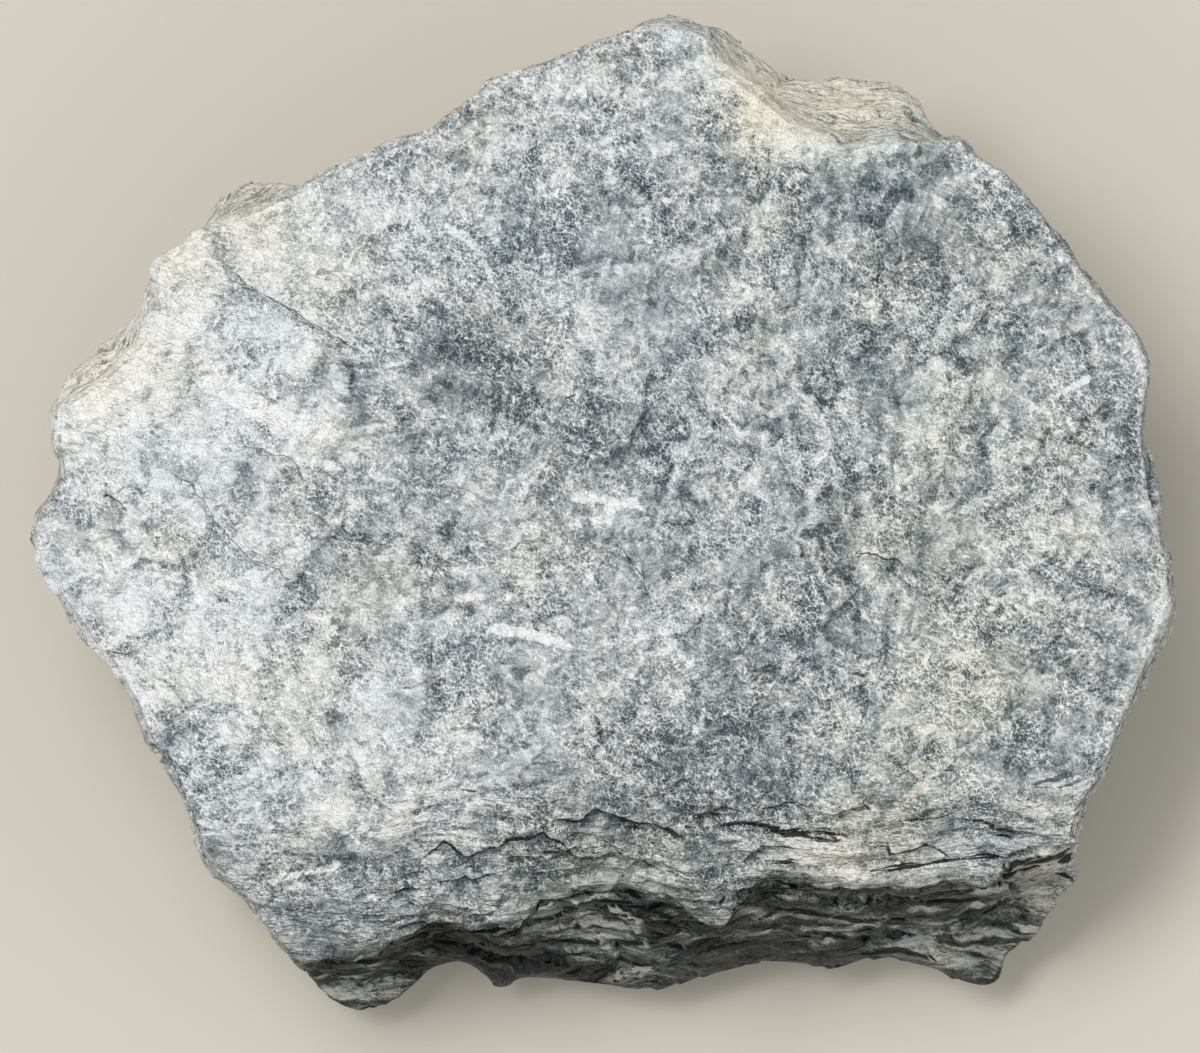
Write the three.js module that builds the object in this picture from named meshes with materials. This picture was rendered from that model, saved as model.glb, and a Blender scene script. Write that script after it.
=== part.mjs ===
// Raw soapstone: one hand-sized broken piece of massive, foliated talc rock.
//
// The piece is a single closed solid. Its upper side is a broad, nearly level split face. The face
// bends down to a foliated, stepped front side (towards -Y). A steep side runs all round below the
// rim, and broken flats draw in under it to the small flat spot that the piece rests on.
//
// Frame: millimetres, +Z up. The origin is on the resting plane, under the middle of the piece.

import * as THREE from "three";

// ---------------------------------------------------------------- driving dimensions

const HEIGHT = 38; // resting plane to the crest of the split face
const HEART = 20; // height of the inner point that the sides are measured from

// Greatest outline, seen from above, clockwise from the right-hand tip: [x, y].
const OUTLINE = [
  [48.3, -6.6], [46.5, -12.0], [43.7, -17.9], [41.5, -24.0], [40.9, -28.7], [40.4, -31.4],
  [38.0, -33.4], [37.1, -35.9], [34.6, -37.3], [33.6, -39.9], [32.1, -40.3], [28.5, -38.6],
  [23.4, -37.8], [19.2, -38.7], [14.1, -38.0], [9.0, -39.1], [4.8, -40.5], [-0.3, -39.9],
  [-6.6, -39.3], [-8.8, -40.3], [-12.2, -38.1], [-15.5, -39.3], [-17.2, -41.2], [-21.0, -42.4],
  [-24.0, -40.8], [-28.9, -34.9], [-33.8, -29.9], [-35.0, -26.4], [-37.6, -20.6], [-39.9, -16.0],
  [-44.3, -9.7], [-48.2, -3.9], [-48.2, -0.7], [-46.2, 2.7], [-46.6, 6.1], [-47.1, 8.3],
  [-46.0, 10.9], [-43.1, 13.9], [-38.6, 19.2], [-37.8, 22.1], [-33.6, 25.1], [-32.7, 27.7],
  [-28.1, 28.4], [-25.9, 27.9], [-17.7, 31.7], [-14.3, 32.7], [-9.0, 37.0], [-2.4, 39.3],
  [4.8, 42.4], [11.3, 40.8], [14.9, 37.6], [22.6, 37.1], [26.6, 35.5], [28.5, 32.4],
  [31.0, 31.3], [36.3, 26.2], [44.8, 16.0], [46.4, 12.0], [45.7, 6.6], [47.1, -1.3],
];

// Rim, turning anticlockwise from +X: [degrees, height of the outline, width of the bevel above it].
const RIM = [
  [0, 31, 1.2], [20, 31, 1.2], [38, 30, 1.2], [47, 26, 1.6], [52, 24, 4.5], [57, 23, 7.0],
  [62, 23, 6.0], [68, 24, 3.5], [73, 24, 2.6], [78, 26, 2.4], [86, 29, 1.2], [90, 32, 0.8],
  [104, 33, 0.6], [125, 33, 0.6], [132, 31, 0.6], [137, 27, 3.0], [141, 26, 3.0], [145, 28, 0.9],
  [151, 30, 0.8], [156, 28, 2.0], [161, 27, 3.4], [165, 27, 4.0], [169, 29, 1.2], [173, 30, 1.0],
  [182, 29, 1.0], [190, 24, 1.2], [197, 19, 1.2], [205, 16, 1.4], [218, 14, 1.6], [230, 12, 1.8],
  [236, 9, 1.6], [241, 7, 4.5], [246, 8, 5.5], [250, 8, 4.0], [256, 7, 5.0], [262, 8, 5.5],
  [270, 8, 7.3], [276, 8, 7.5], [282, 9, 5.0], [287, 9, 4.5], [292, 9, 6.0], [298, 9, 7.0],
  [303, 9, 6.0], [310, 8, 8.0], [316, 11, 6.0], [323, 20, 2.0], [328, 26, 2.0], [340, 31, 1.4],
  [352, 31, 1.2], [360, 31, 1.2],
];

// Broken flats under the rim: way each one faces, how far it leans in from upright (degrees),
// and the height and distance from the middle where it leaves the upright side.
const UNDER_FLATS = [
  { faces: 6, lean: 31, height: 23, reach: 46.5 },
  { faces: 22, lean: 67, height: 9, reach: 40 },
  { faces: 60, lean: 42, height: 21, reach: 42 },
  { faces: 100, lean: 22, height: 27, reach: 38.5 },
  { faces: 122, lean: 63, height: 10, reach: 33 },
  { faces: 152, lean: 37, height: 16, reach: 42 },
  { faces: 184, lean: 58, height: 15, reach: 44 },
  { faces: 222, lean: 44, height: 12, reach: 43 },
  { faces: 266, lean: 40, height: 6, reach: 38.5 },
  { faces: 283, lean: 66, height: 5, reach: 36 },
  { faces: 320, lean: 53, height: 11, reach: 47 },
];

// Bends of the split face: it falls off with the square of the distance past a line.
const LEFT_BEND = { from: -15, fall: 0.0022 };
const RIGHT_BEND = { from: 20, fall: 0.0012 };
const BACK_BEND = { from: 30, fall: 0.008 };
const FRONT_BEND = { from: -20, fall: 0.035 };
const CREST_ALLOWANCE = 0.6; // the face's level below HEIGHT, taken up by its gentle waves
const WAVES = [
  { along: 0.13, across: 0.05, shift: 0.4, depth: 0.3 },
  { along: -0.06, across: 0.16, shift: 1.9, depth: 0.25 },
  { along: 0.21, across: -0.19, shift: 4.1, depth: 0.12 },
];

// Facet counts
const FACE_CELLS = 34; // squares across the face
const BEVEL_ROWS = 4; // rows of facets between the face and the outline
const SIDE_ROWS = 12; // rows of facets between the outline and the foot
const COLUMNS = 4 * FACE_CELLS;
const ROWS = BEVEL_ROWS + SIDE_ROWS;

const BEVEL_FULLNESS = 0.65; // 1 is a straight bevel, less is rounder
const INNER_EASE = 5; // how quickly the face's grid takes on the rim's corners
const WALL_HOLD = 0.3; // share of the side over which the upright wall gives way to the flats
const FOOT_HOLD = 0.85; // share of the side past which it closes on the foot
const CORNER_SHARPNESS = 18; // larger keeps the corners between the flats crisper
const FOOT_SHARPNESS = 8; // the same for the corners of the resting flat

// ---------------------------------------------------------------- curves round the piece

const degrees = THREE.MathUtils.degToRad;
const smooth = THREE.MathUtils.smoothstep;

// Distance from the middle to the outline along one bearing: the ray meets one outline side.
function outlineRadius(bearing) {
  const dx = Math.cos(bearing);
  const dy = Math.sin(bearing);
  let radius = 0;
  OUTLINE.forEach(([ax, ay], i) => {
    const [bx, by] = OUTLINE[(i + 1) % OUTLINE.length];
    const before = ax * dy - ay * dx;
    const after = bx * dy - by * dx;
    if (before * after > 0 || before === after) return;
    const share = before / (before - after);
    const along = (ax + (bx - ax) * share) * dx + (ay + (by - ay) * share) * dy;
    radius = Math.max(radius, along);
  });
  return radius;
}

// The rim along one bearing, straight between RIM rows: the outline's distance and height, and the
// distance of the face's edge.
function rimAt(bearing) {
  const turn = THREE.MathUtils.euclideanModulo(THREE.MathUtils.radToDeg(bearing), 360);
  const i = Math.max(1, RIM.findIndex((row) => row[0] >= turn));
  const [a, b] = [RIM[i - 1], RIM[i]];
  const share = (turn - a[0]) / (b[0] - a[0]);
  const outline = outlineRadius(bearing);
  return {
    outline,
    height: THREE.MathUtils.lerp(a[1], b[1], share),
    edge: outline - THREE.MathUtils.lerp(a[2], b[2], share),
  };
}

// Distance of the face's edge averaged over a quarter turn, for the inner rings of its grid.
function easedEdge(bearing) {
  const samples = 15;
  let sum = 0;
  for (let i = 0; i < samples; i += 1) {
    sum += rimAt(bearing + degrees(90) * (i / (samples - 1) - 0.5)).edge;
  }
  return sum / samples;
}

// ---------------------------------------------------------------- heights

const past = (distance) => Math.max(0, distance) ** 2;

// Height of the split face before its rim is taken off.
function faceHeight(x, y) {
  let z = HEIGHT - CREST_ALLOWANCE;
  z -= LEFT_BEND.fall * past(LEFT_BEND.from - x);
  z -= RIGHT_BEND.fall * past(x - RIGHT_BEND.from);
  z -= BACK_BEND.fall * past(y - BACK_BEND.from);
  z -= FRONT_BEND.fall * past(FRONT_BEND.from - y);
  WAVES.forEach((wave) => {
    z += wave.depth * Math.sin(wave.along * x + wave.across * y + wave.shift);
  });
  return z;
}

// Distance from the heart, along a direction given by its bearing and its slope in that bearing's
// upright plane, to the nearest under flat or to the upright wall, with rounded corners between.
function sideDistance(bearing, out, down, wallRadius) {
  let sum = (out / wallRadius) ** CORNER_SHARPNESS;
  UNDER_FLATS.forEach((flat) => {
    const lean = degrees(flat.lean);
    const facing = Math.cos(bearing - degrees(flat.faces)) * Math.cos(lean);
    const offset = flat.reach * Math.cos(lean) - (flat.height - HEART) * Math.sin(lean);
    const nearness = (facing * out + Math.sin(lean) * down) / offset;
    if (nearness > 0) sum += nearness ** CORNER_SHARPNESS;
  });
  return sum ** (-1 / CORNER_SHARPNESS);
}

// Where the under flats meet the resting plane, out from the middle, with the same rounding.
function footRadius(bearing) {
  let sum = 0;
  UNDER_FLATS.forEach((flat) => {
    const distance = flat.reach - flat.height * Math.tan(degrees(flat.lean));
    const nearness = Math.cos(bearing - degrees(flat.faces)) / distance;
    if (nearness > 0) sum += nearness ** FOOT_SHARPNESS;
  });
  return sum ** (-1 / FOOT_SHARPNESS);
}

// ---------------------------------------------------------------- the solid

function polar(bearing, reach, z) {
  return new THREE.Vector3(reach * Math.cos(bearing), reach * Math.sin(bearing), z);
}

// A square grid bent round into the face's edge. Its border has COLUMNS points, evenly turned.
function facePoints() {
  const points = [];
  for (let row = 0; row <= FACE_CELLS; row += 1) {
    for (let column = 0; column <= FACE_CELLS; column += 1) {
      const a = (2 * column) / FACE_CELLS - 1;
      const b = (2 * row) / FACE_CELLS - 1;
      const ring = Math.max(Math.abs(a), Math.abs(b));
      const sideways = Math.abs(a) >= Math.abs(b);
      const [lead, other] = sideways ? [a, b] : [b, a];
      const turn = lead === 0 ? 0 : (Math.PI / 4) * (other / lead);
      const bearing = (sideways ? turn : Math.PI / 2 - turn) + (lead < 0 ? Math.PI : 0);
      const spread = THREE.MathUtils.lerp(easedEdge(bearing), rimAt(bearing).edge, ring ** INNER_EASE);
      const point = polar(bearing, ring * spread, 0);
      point.z = faceHeight(point.x, point.y);
      points.push(point);
    }
  }
  return points;
}

// One point of the bevel: share 0 lies on the face's edge and share 1 on the outline.
function bevelPoint(bearing, share) {
  const rim = rimAt(bearing);
  const edge = polar(bearing, rim.edge, 0);
  const top = faceHeight(edge.x, edge.y);
  const rise = (1 - share) ** BEVEL_FULLNESS;
  const reach = THREE.MathUtils.lerp(rim.edge, rim.outline, share);
  return polar(bearing, reach, THREE.MathUtils.lerp(rim.height, top, rise));
}

// One point of the side: share 0 lies on the outline and share 1 on the resting plane. The point
// is found along a ray from the heart towards the straight chord between the two.
function sidePoint(bearing, share) {
  const rim = rimAt(bearing);
  const chordOut = THREE.MathUtils.lerp(rim.outline, footRadius(bearing), share);
  const chordUp = THREE.MathUtils.lerp(rim.height, 0, share) - HEART;
  const length = Math.hypot(chordOut, chordUp);
  const out = chordOut / length;
  const up = chordUp / length;
  const wall = rim.outline / out;
  const low = sideDistance(bearing, out, -up, rim.outline);
  const upper = THREE.MathUtils.lerp(wall, low, smooth(share, 0, WALL_HOLD));
  const distance = THREE.MathUtils.lerp(upper, length, smooth(share, FOOT_HOLD, 1));
  return polar(bearing, distance * out, Math.max(0, HEART + distance * up));
}

// Rows of points round the piece, below the face's edge and down to the foot.
function beltPoints() {
  const points = [];
  for (let row = 1; row <= ROWS; row += 1) {
    for (let column = 0; column < COLUMNS; column += 1) {
      const bearing = (2 * Math.PI * column) / COLUMNS;
      const onBevel = row <= BEVEL_ROWS;
      points.push(
        onBevel
          ? bevelPoint(bearing, row / BEVEL_ROWS)
          : sidePoint(bearing, (row - BEVEL_ROWS) / SIDE_ROWS),
      );
    }
  }
  return points;
}

// Index, in the face's grid, of the border point that heads one column of the belt.
function borderIndex(column) {
  const n = FACE_CELLS;
  const turned = (column + n / 2) % COLUMNS; // counts from the corner at -45 degrees
  const step = turned % n;
  const corners = [
    [n, step],
    [n - step, n],
    [0, n - step],
    [step, 0],
  ];
  const [a, b] = corners[Math.floor(turned / n)];
  return b * (n + 1) + a;
}

function soapstoneGeometry() {
  const face = facePoints();
  const belt = beltPoints();
  const triangles = [];
  const quad = (a, b, c, d) => triangles.push(a, b, c, a, c, d);

  const n = FACE_CELLS;
  for (let row = 0; row < n; row += 1) {
    for (let column = 0; column < n; column += 1) {
      const a = row * (n + 1) + column;
      quad(a, a + 1, a + n + 2, a + n + 1);
    }
  }

  const beltIndex = (row, column) => {
    const wrapped = column % COLUMNS;
    return row === 0 ? borderIndex(wrapped) : face.length + (row - 1) * COLUMNS + wrapped;
  };
  for (let row = 0; row < ROWS; row += 1) {
    for (let column = 0; column < COLUMNS; column += 1) {
      const next = column + 1;
      quad(
        beltIndex(row, column),
        beltIndex(row + 1, column),
        beltIndex(row + 1, next),
        beltIndex(row, next),
      );
    }
  }

  // The resting flat is a fan about the middle of the foot.
  const hub = face.length + belt.length;
  for (let column = 0; column < COLUMNS; column += 1) {
    triangles.push(hub, beltIndex(ROWS, column + 1), beltIndex(ROWS, column));
  }

  const points = [...face, ...belt, new THREE.Vector3(0, 0, 0)];
  const coordinates = points.flatMap((point) => point.toArray());
  const geometry = new THREE.BufferGeometry();
  geometry.setAttribute("position", new THREE.Float32BufferAttribute(coordinates, 3));
  geometry.setIndex(triangles);
  return geometry;
}

const paleTalc = new THREE.MeshStandardMaterial({
  color: 0xa5abaa,
  roughness: 0.72,
  metalness: 0,
});

const soapstone = new THREE.Mesh(soapstoneGeometry(), paleTalc);
soapstone.name = "soapstone";

const part = new THREE.Group();
part.add(soapstone);

export default part;
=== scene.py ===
"""Raw soapstone: one hand-sized broken piece, worked out as a single closed skin of numpy grids.

The skin has three parts that share their border points, so there is no seam:
  face  a square grid bent round into the edge of the broad split face,
  belt  a profile carried round the stone, from the face's edge over the outline to the foot,
  bed   a coarser bent square grid that fills the small flat the stone rests on.
Shapes are worked out in millimetres and turned into metres when the mesh is made.
"""

import math

import bpy
import numpy as np
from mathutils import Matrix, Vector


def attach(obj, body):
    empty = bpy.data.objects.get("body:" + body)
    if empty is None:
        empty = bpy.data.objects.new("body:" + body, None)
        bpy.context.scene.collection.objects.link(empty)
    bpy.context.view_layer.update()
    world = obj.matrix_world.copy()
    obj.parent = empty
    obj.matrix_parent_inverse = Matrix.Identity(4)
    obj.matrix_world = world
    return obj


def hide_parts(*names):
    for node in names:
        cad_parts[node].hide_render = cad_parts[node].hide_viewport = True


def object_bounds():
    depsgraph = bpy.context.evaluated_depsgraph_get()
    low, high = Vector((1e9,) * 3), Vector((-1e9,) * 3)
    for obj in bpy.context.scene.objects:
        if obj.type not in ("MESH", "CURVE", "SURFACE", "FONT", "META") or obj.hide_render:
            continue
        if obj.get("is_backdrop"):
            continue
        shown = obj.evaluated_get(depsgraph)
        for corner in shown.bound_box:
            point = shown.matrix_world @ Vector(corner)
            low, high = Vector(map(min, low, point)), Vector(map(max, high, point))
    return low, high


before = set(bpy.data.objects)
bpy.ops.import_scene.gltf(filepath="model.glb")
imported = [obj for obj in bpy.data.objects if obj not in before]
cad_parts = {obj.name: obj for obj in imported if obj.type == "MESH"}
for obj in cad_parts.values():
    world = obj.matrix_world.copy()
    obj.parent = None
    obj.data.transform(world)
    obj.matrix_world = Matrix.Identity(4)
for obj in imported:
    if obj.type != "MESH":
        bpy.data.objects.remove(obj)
cad_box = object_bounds()

# ------------------------------------------------------------------ driving sizes, millimetres

METRES = 0.001  # one millimetre in metres
HEIGHT = 38.0  # resting plane to the crest of the split face
HEART = 20.0  # height of the inner point that the sides are measured from
HUB = np.array([2.0, -11.0])  # middle of the face's grid: nearer the front, where detail is finest

FACE_CELLS = 184  # squares across the face
COLUMNS = 4 * FACE_CELLS  # columns of the belt
BELT_ROWS = 72  # rows of the belt
UPPER_SHARE = 1.8  # how much closer the belt's rows lie above the outline than below it
EASED_COLUMNS = 26  # how many columns the edge's bends are spread over in the middle of the face
BED_SHARE = 0.985  # size of the bed inside the belt's foot
BED_CELLS = FACE_CELLS // 2  # squares across the bed: the foot halves the columns

# Points of the face and of the bed have no place down the belt. These mark them in its stead.
ON_FACE, ON_BED = -99.0, 99.0

# Greatest outline seen from above, anticlockwise from +X.
OUTLINE = np.array([
    (46.7, 1.4), (46.3, 4.4), (45.7, 6.6), (46.0, 7.8), (45.9, 10.1), (46.4, 12.0), (45.7, 14.1),
    (44.8, 16.0), (42.5, 18.3), (41.2, 19.9), (38.5, 23.2), (37.4, 24.9), (35.3, 27.4),
    (33.8, 28.9), (31.9, 30.2), (30.2, 32.1), (28.5, 32.4), (27.2, 34.3), (26.6, 35.5),
    (25.5, 36.3), (24.3, 37.0), (20.5, 37.4), (17.5, 37.3), (14.9, 37.6), (13.0, 38.6),
    (12.2, 39.7), (11.3, 40.8), (9.9, 41.4), (6.5, 42.1), (4.8, 42.4), (3.1, 41.9), (1.4, 41.0),
    (-0.3, 40.4), (-2.4, 39.3), (-4.5, 38.3), (-7.5, 37.2), (-9.0, 37.0), (-10.2, 36.1),
    (-13.0, 34.2), (-14.3, 32.7), (-15.5, 32.1), (-17.7, 31.7), (-19.8, 30.7), (-21.5, 30.2),
    (-23.2, 29.2), (-25.9, 27.9), (-28.1, 28.4), (-30.4, 28.2), (-32.7, 27.7), (-33.1, 26.6),
    (-33.6, 25.1), (-34.4, 24.1), (-35.9, 22.8), (-37.8, 22.1), (-38.5, 21.0), (-38.6, 19.2),
    (-39.4, 17.5), (-41.0, 16.2), (-41.8, 14.9), (-43.1, 13.9), (-44.8, 12.8), (-45.8, 11.9),
    (-46.0, 10.9), (-46.0, 10.0), (-46.9, 9.2), (-47.1, 8.3), (-46.6, 6.1), (-46.3, 3.5),
    (-46.2, 2.7), (-47.5, 1.0), (-48.2, -0.7), (-48.3, -2.4), (-48.2, -3.9), (-47.1, -5.9),
    (-44.3, -9.7), (-43.1, -11.0), (-41.4, -12.8), (-39.9, -16.0), (-39.6, -17.7), (-39.1, -19.1),
    (-37.6, -20.6), (-36.3, -23.2), (-35.0, -26.4), (-34.8, -28.2), (-33.8, -29.9),
    (-31.2, -32.1), (-29.9, -33.7), (-27.8, -36.3), (-25.3, -39.3), (-24.0, -40.8),
    (-22.1, -42.2), (-21.0, -42.4), (-18.5, -41.8), (-17.2, -41.2), (-16.2, -40.4),
    (-15.5, -39.3), (-14.3, -38.4), (-12.2, -38.1), (-10.9, -38.8), (-10.0, -39.8),
    (-8.8, -40.3), (-7.8, -39.9), (-6.6, -39.3), (-4.5, -39.5), (-0.3, -39.9), (3.1, -40.5),
    (4.8, -40.5), (7.3, -39.7), (9.0, -39.1), (11.6, -38.4), (14.1, -38.0), (16.6, -38.2),
    (19.2, -38.7), (21.3, -38.2), (23.4, -37.8), (26.8, -38.1), (28.5, -38.6), (29.9, -39.5),
    (32.1, -40.3), (33.6, -39.9), (34.4, -38.6), (34.6, -37.3), (35.3, -36.7), (37.1, -35.9),
    (37.5, -34.3), (38.2, -33.3), (39.5, -32.3), (40.4, -31.4), (40.4, -30.4), (40.9, -28.7),
    (41.0, -26.6), (41.5, -24.0), (42.3, -21.9), (43.1, -19.4), (44.6, -15.7), (46.5, -12.0),
    (47.6, -9.9), (48.2, -8.3), (48.3, -6.6), (48.0, -2.5), (47.1, -1.3),
])

# Edge of the split face, the line where it breaks off towards the sides.
EDGE = np.array([
    (44.8, 1.4), (44.4, 4.4), (44.1, 9.9), (44.4, 12.0), (43.6, 14.5), (40.4, 19.0), (37.4, 23.4),
    (33.6, 28.1), (31.5, 29.8), (29.8, 31.4), (26.8, 31.6), (23.8, 31.9), (20.0, 31.0),
    (16.6, 32.7), (14.1, 34.9), (11.6, 36.8), (8.2, 38.5), (3.3, 40.4), (1.6, 40.6),
    (-0.2, 39.9), (-4.5, 37.9), (-7.2, 36.8), (-9.6, 35.8), (-11.3, 34.6), (-13.8, 32.5),
    (-15.4, 31.8), (-19.6, 30.4), (-23.2, 28.8), (-27.0, 27.1), (-30.4, 25.6), (-32.5, 24.8),
    (-34.2, 23.5), (-37.6, 21.4), (-37.7, 17.5), (-39.3, 14.4), (-42.6, 11.5), (-45.9, 9.4),
    (-46.2, 8.2), (-45.5, 3.9), (-45.4, 2.2), (-46.5, 0.6), (-47.2, -1.1), (-47.1, -2.8),
    (-46.0, -5.4), (-42.6, -10.5), (-41.0, -12.6), (-38.2, -16.6), (-35.9, -21.6),
    (-33.8, -26.6), (-30.4, -31.5), (-28.4, -34.2), (-27.0, -36.5), (-25.7, -38.1),
    (-24.0, -37.7), (-19.8, -37.3), (-17.7, -36.7), (-15.7, -35.2), (-14.3, -34.6),
    (-12.2, -35.0), (-8.8, -35.9), (-6.6, -35.2), (-5.0, -34.0), (-2.0, -33.4), (-0.7, -32.7),
    (1.0, -32.4), (3.1, -32.7), (7.3, -34.3), (8.6, -35.0), (10.3, -34.9), (11.6, -32.9),
    (13.3, -31.8), (14.9, -31.3), (16.6, -31.5), (19.2, -32.1), (21.7, -32.7), (29.3, -31.9),
    (32.3, -31.9), (33.6, -30.8), (34.9, -28.8), (37.8, -28.4), (40.2, -27.8), (38.8, -25.7),
    (39.9, -20.6), (41.6, -15.5), (43.9, -11.3), (46.0, -6.2), (45.9, -3.7), (45.1, -1.6),
])

# The rim, turning anticlockwise from +X: degrees, height of the outline above the resting
# plane, and fullness of the bevel (1 rounds out to a corner, 0 is straight, -1 is hollow).
RIM = np.array([
    (0, 31, 0.9), (20, 31, 0.9), (38, 30, 0.9), (47, 26, 0.6), (52, 24, 0.3), (57, 23, 0.1),
    (62, 23, -0.1), (68, 24, -0.2), (73, 24, 0.2), (78, 26, 0.7), (86, 29, 0.8), (90, 32, 0.8),
    (104, 33, 0.8), (125, 33, 0.8), (132, 31, 0.4), (137, 27, -0.4), (141, 26, -0.4),
    (145, 28, 0.3), (151, 30, 0.7), (156, 28, 0.3), (161, 27, 0.0), (165, 27, 0.1),
    (169, 29, 0.5), (173, 30, 0.8), (182, 29, 0.8), (190, 24, 0.7), (197, 19, 0.7),
    (205, 16, 0.7), (218, 14, 0.7), (230, 12, 0.6), (236, 9, 0.2), (241, 7, -0.3),
    (246, 8, -0.2), (250, 8, -0.2), (256, 7, 0.0), (262, 8, 0.15), (270, 8, 0.3),
    (276, 8, 0.3), (282, 9, 0.1), (287, 9, 0.0), (292, 9, 0.2), (298, 9, 0.25),
    (303, 9, 0.2), (310, 8, 0.0), (316, 11, 0.0), (323, 20, 0.4), (328, 26, 0.7),
    (340, 31, 0.9), (352, 31, 0.9), (360, 31, 0.9),
])

# Broken flats under the rim: degrees each one faces, degrees it leans in from upright, and the
# height and distance from the middle where it leaves the upright side.
UNDER_FLATS = np.array([
    (6, 31, 23, 46.5), (22, 67, 9, 40), (60, 42, 21, 42), (100, 22, 27, 38.5), (122, 63, 10, 33),
    (152, 37, 16, 42), (184, 58, 15, 44), (222, 44, 12, 43), (266, 40, 6, 38.5),
    (283, 66, 5, 36), (320, 53, 11, 47),
])

# Bends of the split face: which axis, where each begins, which way it goes on, how fast it falls.
BENDS = [(0, -15, -1, 0.0022), (0, 20, 1, 0.0012), (1, 30, 1, 0.008), (1, -20, -1, 0.035)]
CREST_ALLOWANCE = 0.6  # the face's level below HEIGHT, taken up by its gentle waves

# The face's gentle waves: radians a millimetre along X and along Y, shift in radians, depth.
WAVES = [(0.13, 0.05, 0.4, 0.3), (-0.06, 0.16, 1.9, 0.25), (0.21, -0.19, 4.1, 0.12)]

# ------------------------------------------------------------------ noise and small formulas


def smooth(low, high, values):
    """Rises from 0 at low to 1 at high as 3t^2 - 2t^3."""
    t = np.clip((values - low) / (high - low), 0.0, 1.0)
    return t * t * (3.0 - 2.0 * t)


def mix(a, b, share):
    """Straight blend: a at share 0, b at share 1."""
    return a + (b - a) * share


def scatter(cells, seed):
    """Three numbers from -1 to 1 for each whole-number cell: the cell's indices are multiplied
    by large primes, joined, and stirred by shifts and products."""
    c = cells.astype(np.int64).astype(np.uint64)
    stirred = c[..., 0] * np.uint64(73856093)
    stirred ^= c[..., 1] * np.uint64(19349663)
    stirred ^= c[..., 2] * np.uint64(83492791)
    stirred ^= np.uint64(seed * 2654435761 % 2**32)
    out = np.empty(c.shape)
    for axis in range(3):
        stirred = (stirred ^ (stirred >> np.uint64(15))) * np.uint64(2246822519)
        stirred &= np.uint64(0xFFFFFFFF)
        stirred = (stirred ^ (stirred >> np.uint64(13))) * np.uint64(3266489917)
        stirred &= np.uint64(0xFFFFFFFF)
        out[..., axis] = stirred / float(0xFFFFFFFF) * 2.0 - 1.0
    return out


def noise(points, size, seed):
    """Smooth noise, about -1 to 1, with features of the given size: a random slope at each corner
    of a cubic lattice, blended across the cell with 6t^5 - 15t^4 + 10t^3."""
    q = points / size
    cell = np.floor(q)
    f = q - cell
    ease = f * f * f * (f * (f * 6.0 - 15.0) + 10.0)
    total = np.zeros(len(points))
    for corner in range(8):
        step = np.array([corner & 1, (corner >> 1) & 1, (corner >> 2) & 1])
        slope = scatter(cell + step, seed)
        weight = np.prod(np.where(step == 1, ease, 1.0 - ease), axis=1)
        total += weight * ((f - step) * slope).sum(axis=1)
    return total * 1.5


def layered(points, size, seed, octaves=4, fade=0.5):
    """Sum of noises, each half the size of the one before and fade times as strong."""
    total = np.zeros(len(points))
    for octave in range(octaves):
        total += fade**octave * noise(points, size * 0.5**octave, seed + octave)
    return total


def wander(points, strength, size, seeds, octaves=2, fade=0.5):
    """A shift of each point that changes slowly from place to place: one layered noise for each
    axis. A line or a spot that is looked up through it has a ragged or wandering border."""
    return strength * np.column_stack([layered(points, size, seed, octaves, fade) for seed in seeds])


def scattered(q, seed):
    """Runs through the 27 lattice cells in and next to each place's own. Each cell has one
    scattered point: gives the cells and the way from their scattered points to the places."""
    own = np.floor(q)
    for number in range(27):
        cell = own + np.array([number % 3, number // 3 % 3, number // 9]) - 1.0
        yield cell, q - (cell + 0.5 + 0.5 * scatter(cell, seed))


def scars(points, size, seed):
    """Shallow scoops that meet in ridges: the squared distance, in scoop sizes, to the nearest
    scattered point."""
    nearest = np.full(len(points), np.inf)
    for _, away in scattered(points / size, seed):
        nearest = np.minimum(nearest, (away**2).sum(axis=1))
    return nearest


def plates(points, size, seed):
    """Tilted plates with ledges between them: each point takes the slope that belongs to the
    nearest scattered point, and the height on it is that slope times the way from there."""
    nearest = np.full(len(points), np.inf)
    height = np.zeros(len(points))
    for cell, away in scattered(points / size, seed):
        gap = (away**2).sum(axis=1)
        slope = scatter(cell, seed + 1)
        height = np.where(gap < nearest, (away * slope).sum(axis=1), height)
        nearest = np.minimum(nearest, gap)
    return height * size


def along_line(points, line):
    """Distance from each point to a broken line in plan, positive on its right-hand side, the
    nearest place on it, and how far along it that is as a share of its length."""
    line = np.asarray(line, float)
    steps = np.diff(line, axis=0)
    lengths = np.hypot(steps[:, 0], steps[:, 1])
    starts = np.concatenate([[0.0], np.cumsum(lengths)])
    best = np.full(len(points), np.inf)
    side = np.zeros(len(points))
    place = np.zeros((len(points), 2))
    share = np.zeros(len(points))
    for start, step, length, before in zip(line, steps, lengths, starts):
        offset = points - start
        t = np.clip(offset @ step / length**2, 0.0, 1.0)
        foot = start + t[:, None] * step
        gap = np.hypot(*(points - foot).T)
        nearer = gap < best
        best = np.where(nearer, gap, best)
        cross = offset[:, 0] * step[1] - offset[:, 1] * step[0]
        side = np.where(nearer, np.where(cross >= 0, 1.0, -1.0), side)
        place = np.where(nearer[:, None], foot, place)
        share = np.where(nearer, (before + t * length) / starts[-1], share)
    return best * side, place, share


def tapered(share, end):
    """1 along a line, falling to 0 towards both ends, over that share of its length."""
    return smooth(0.0, end, share) * smooth(1.0, 1.0 - end, share)


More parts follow.
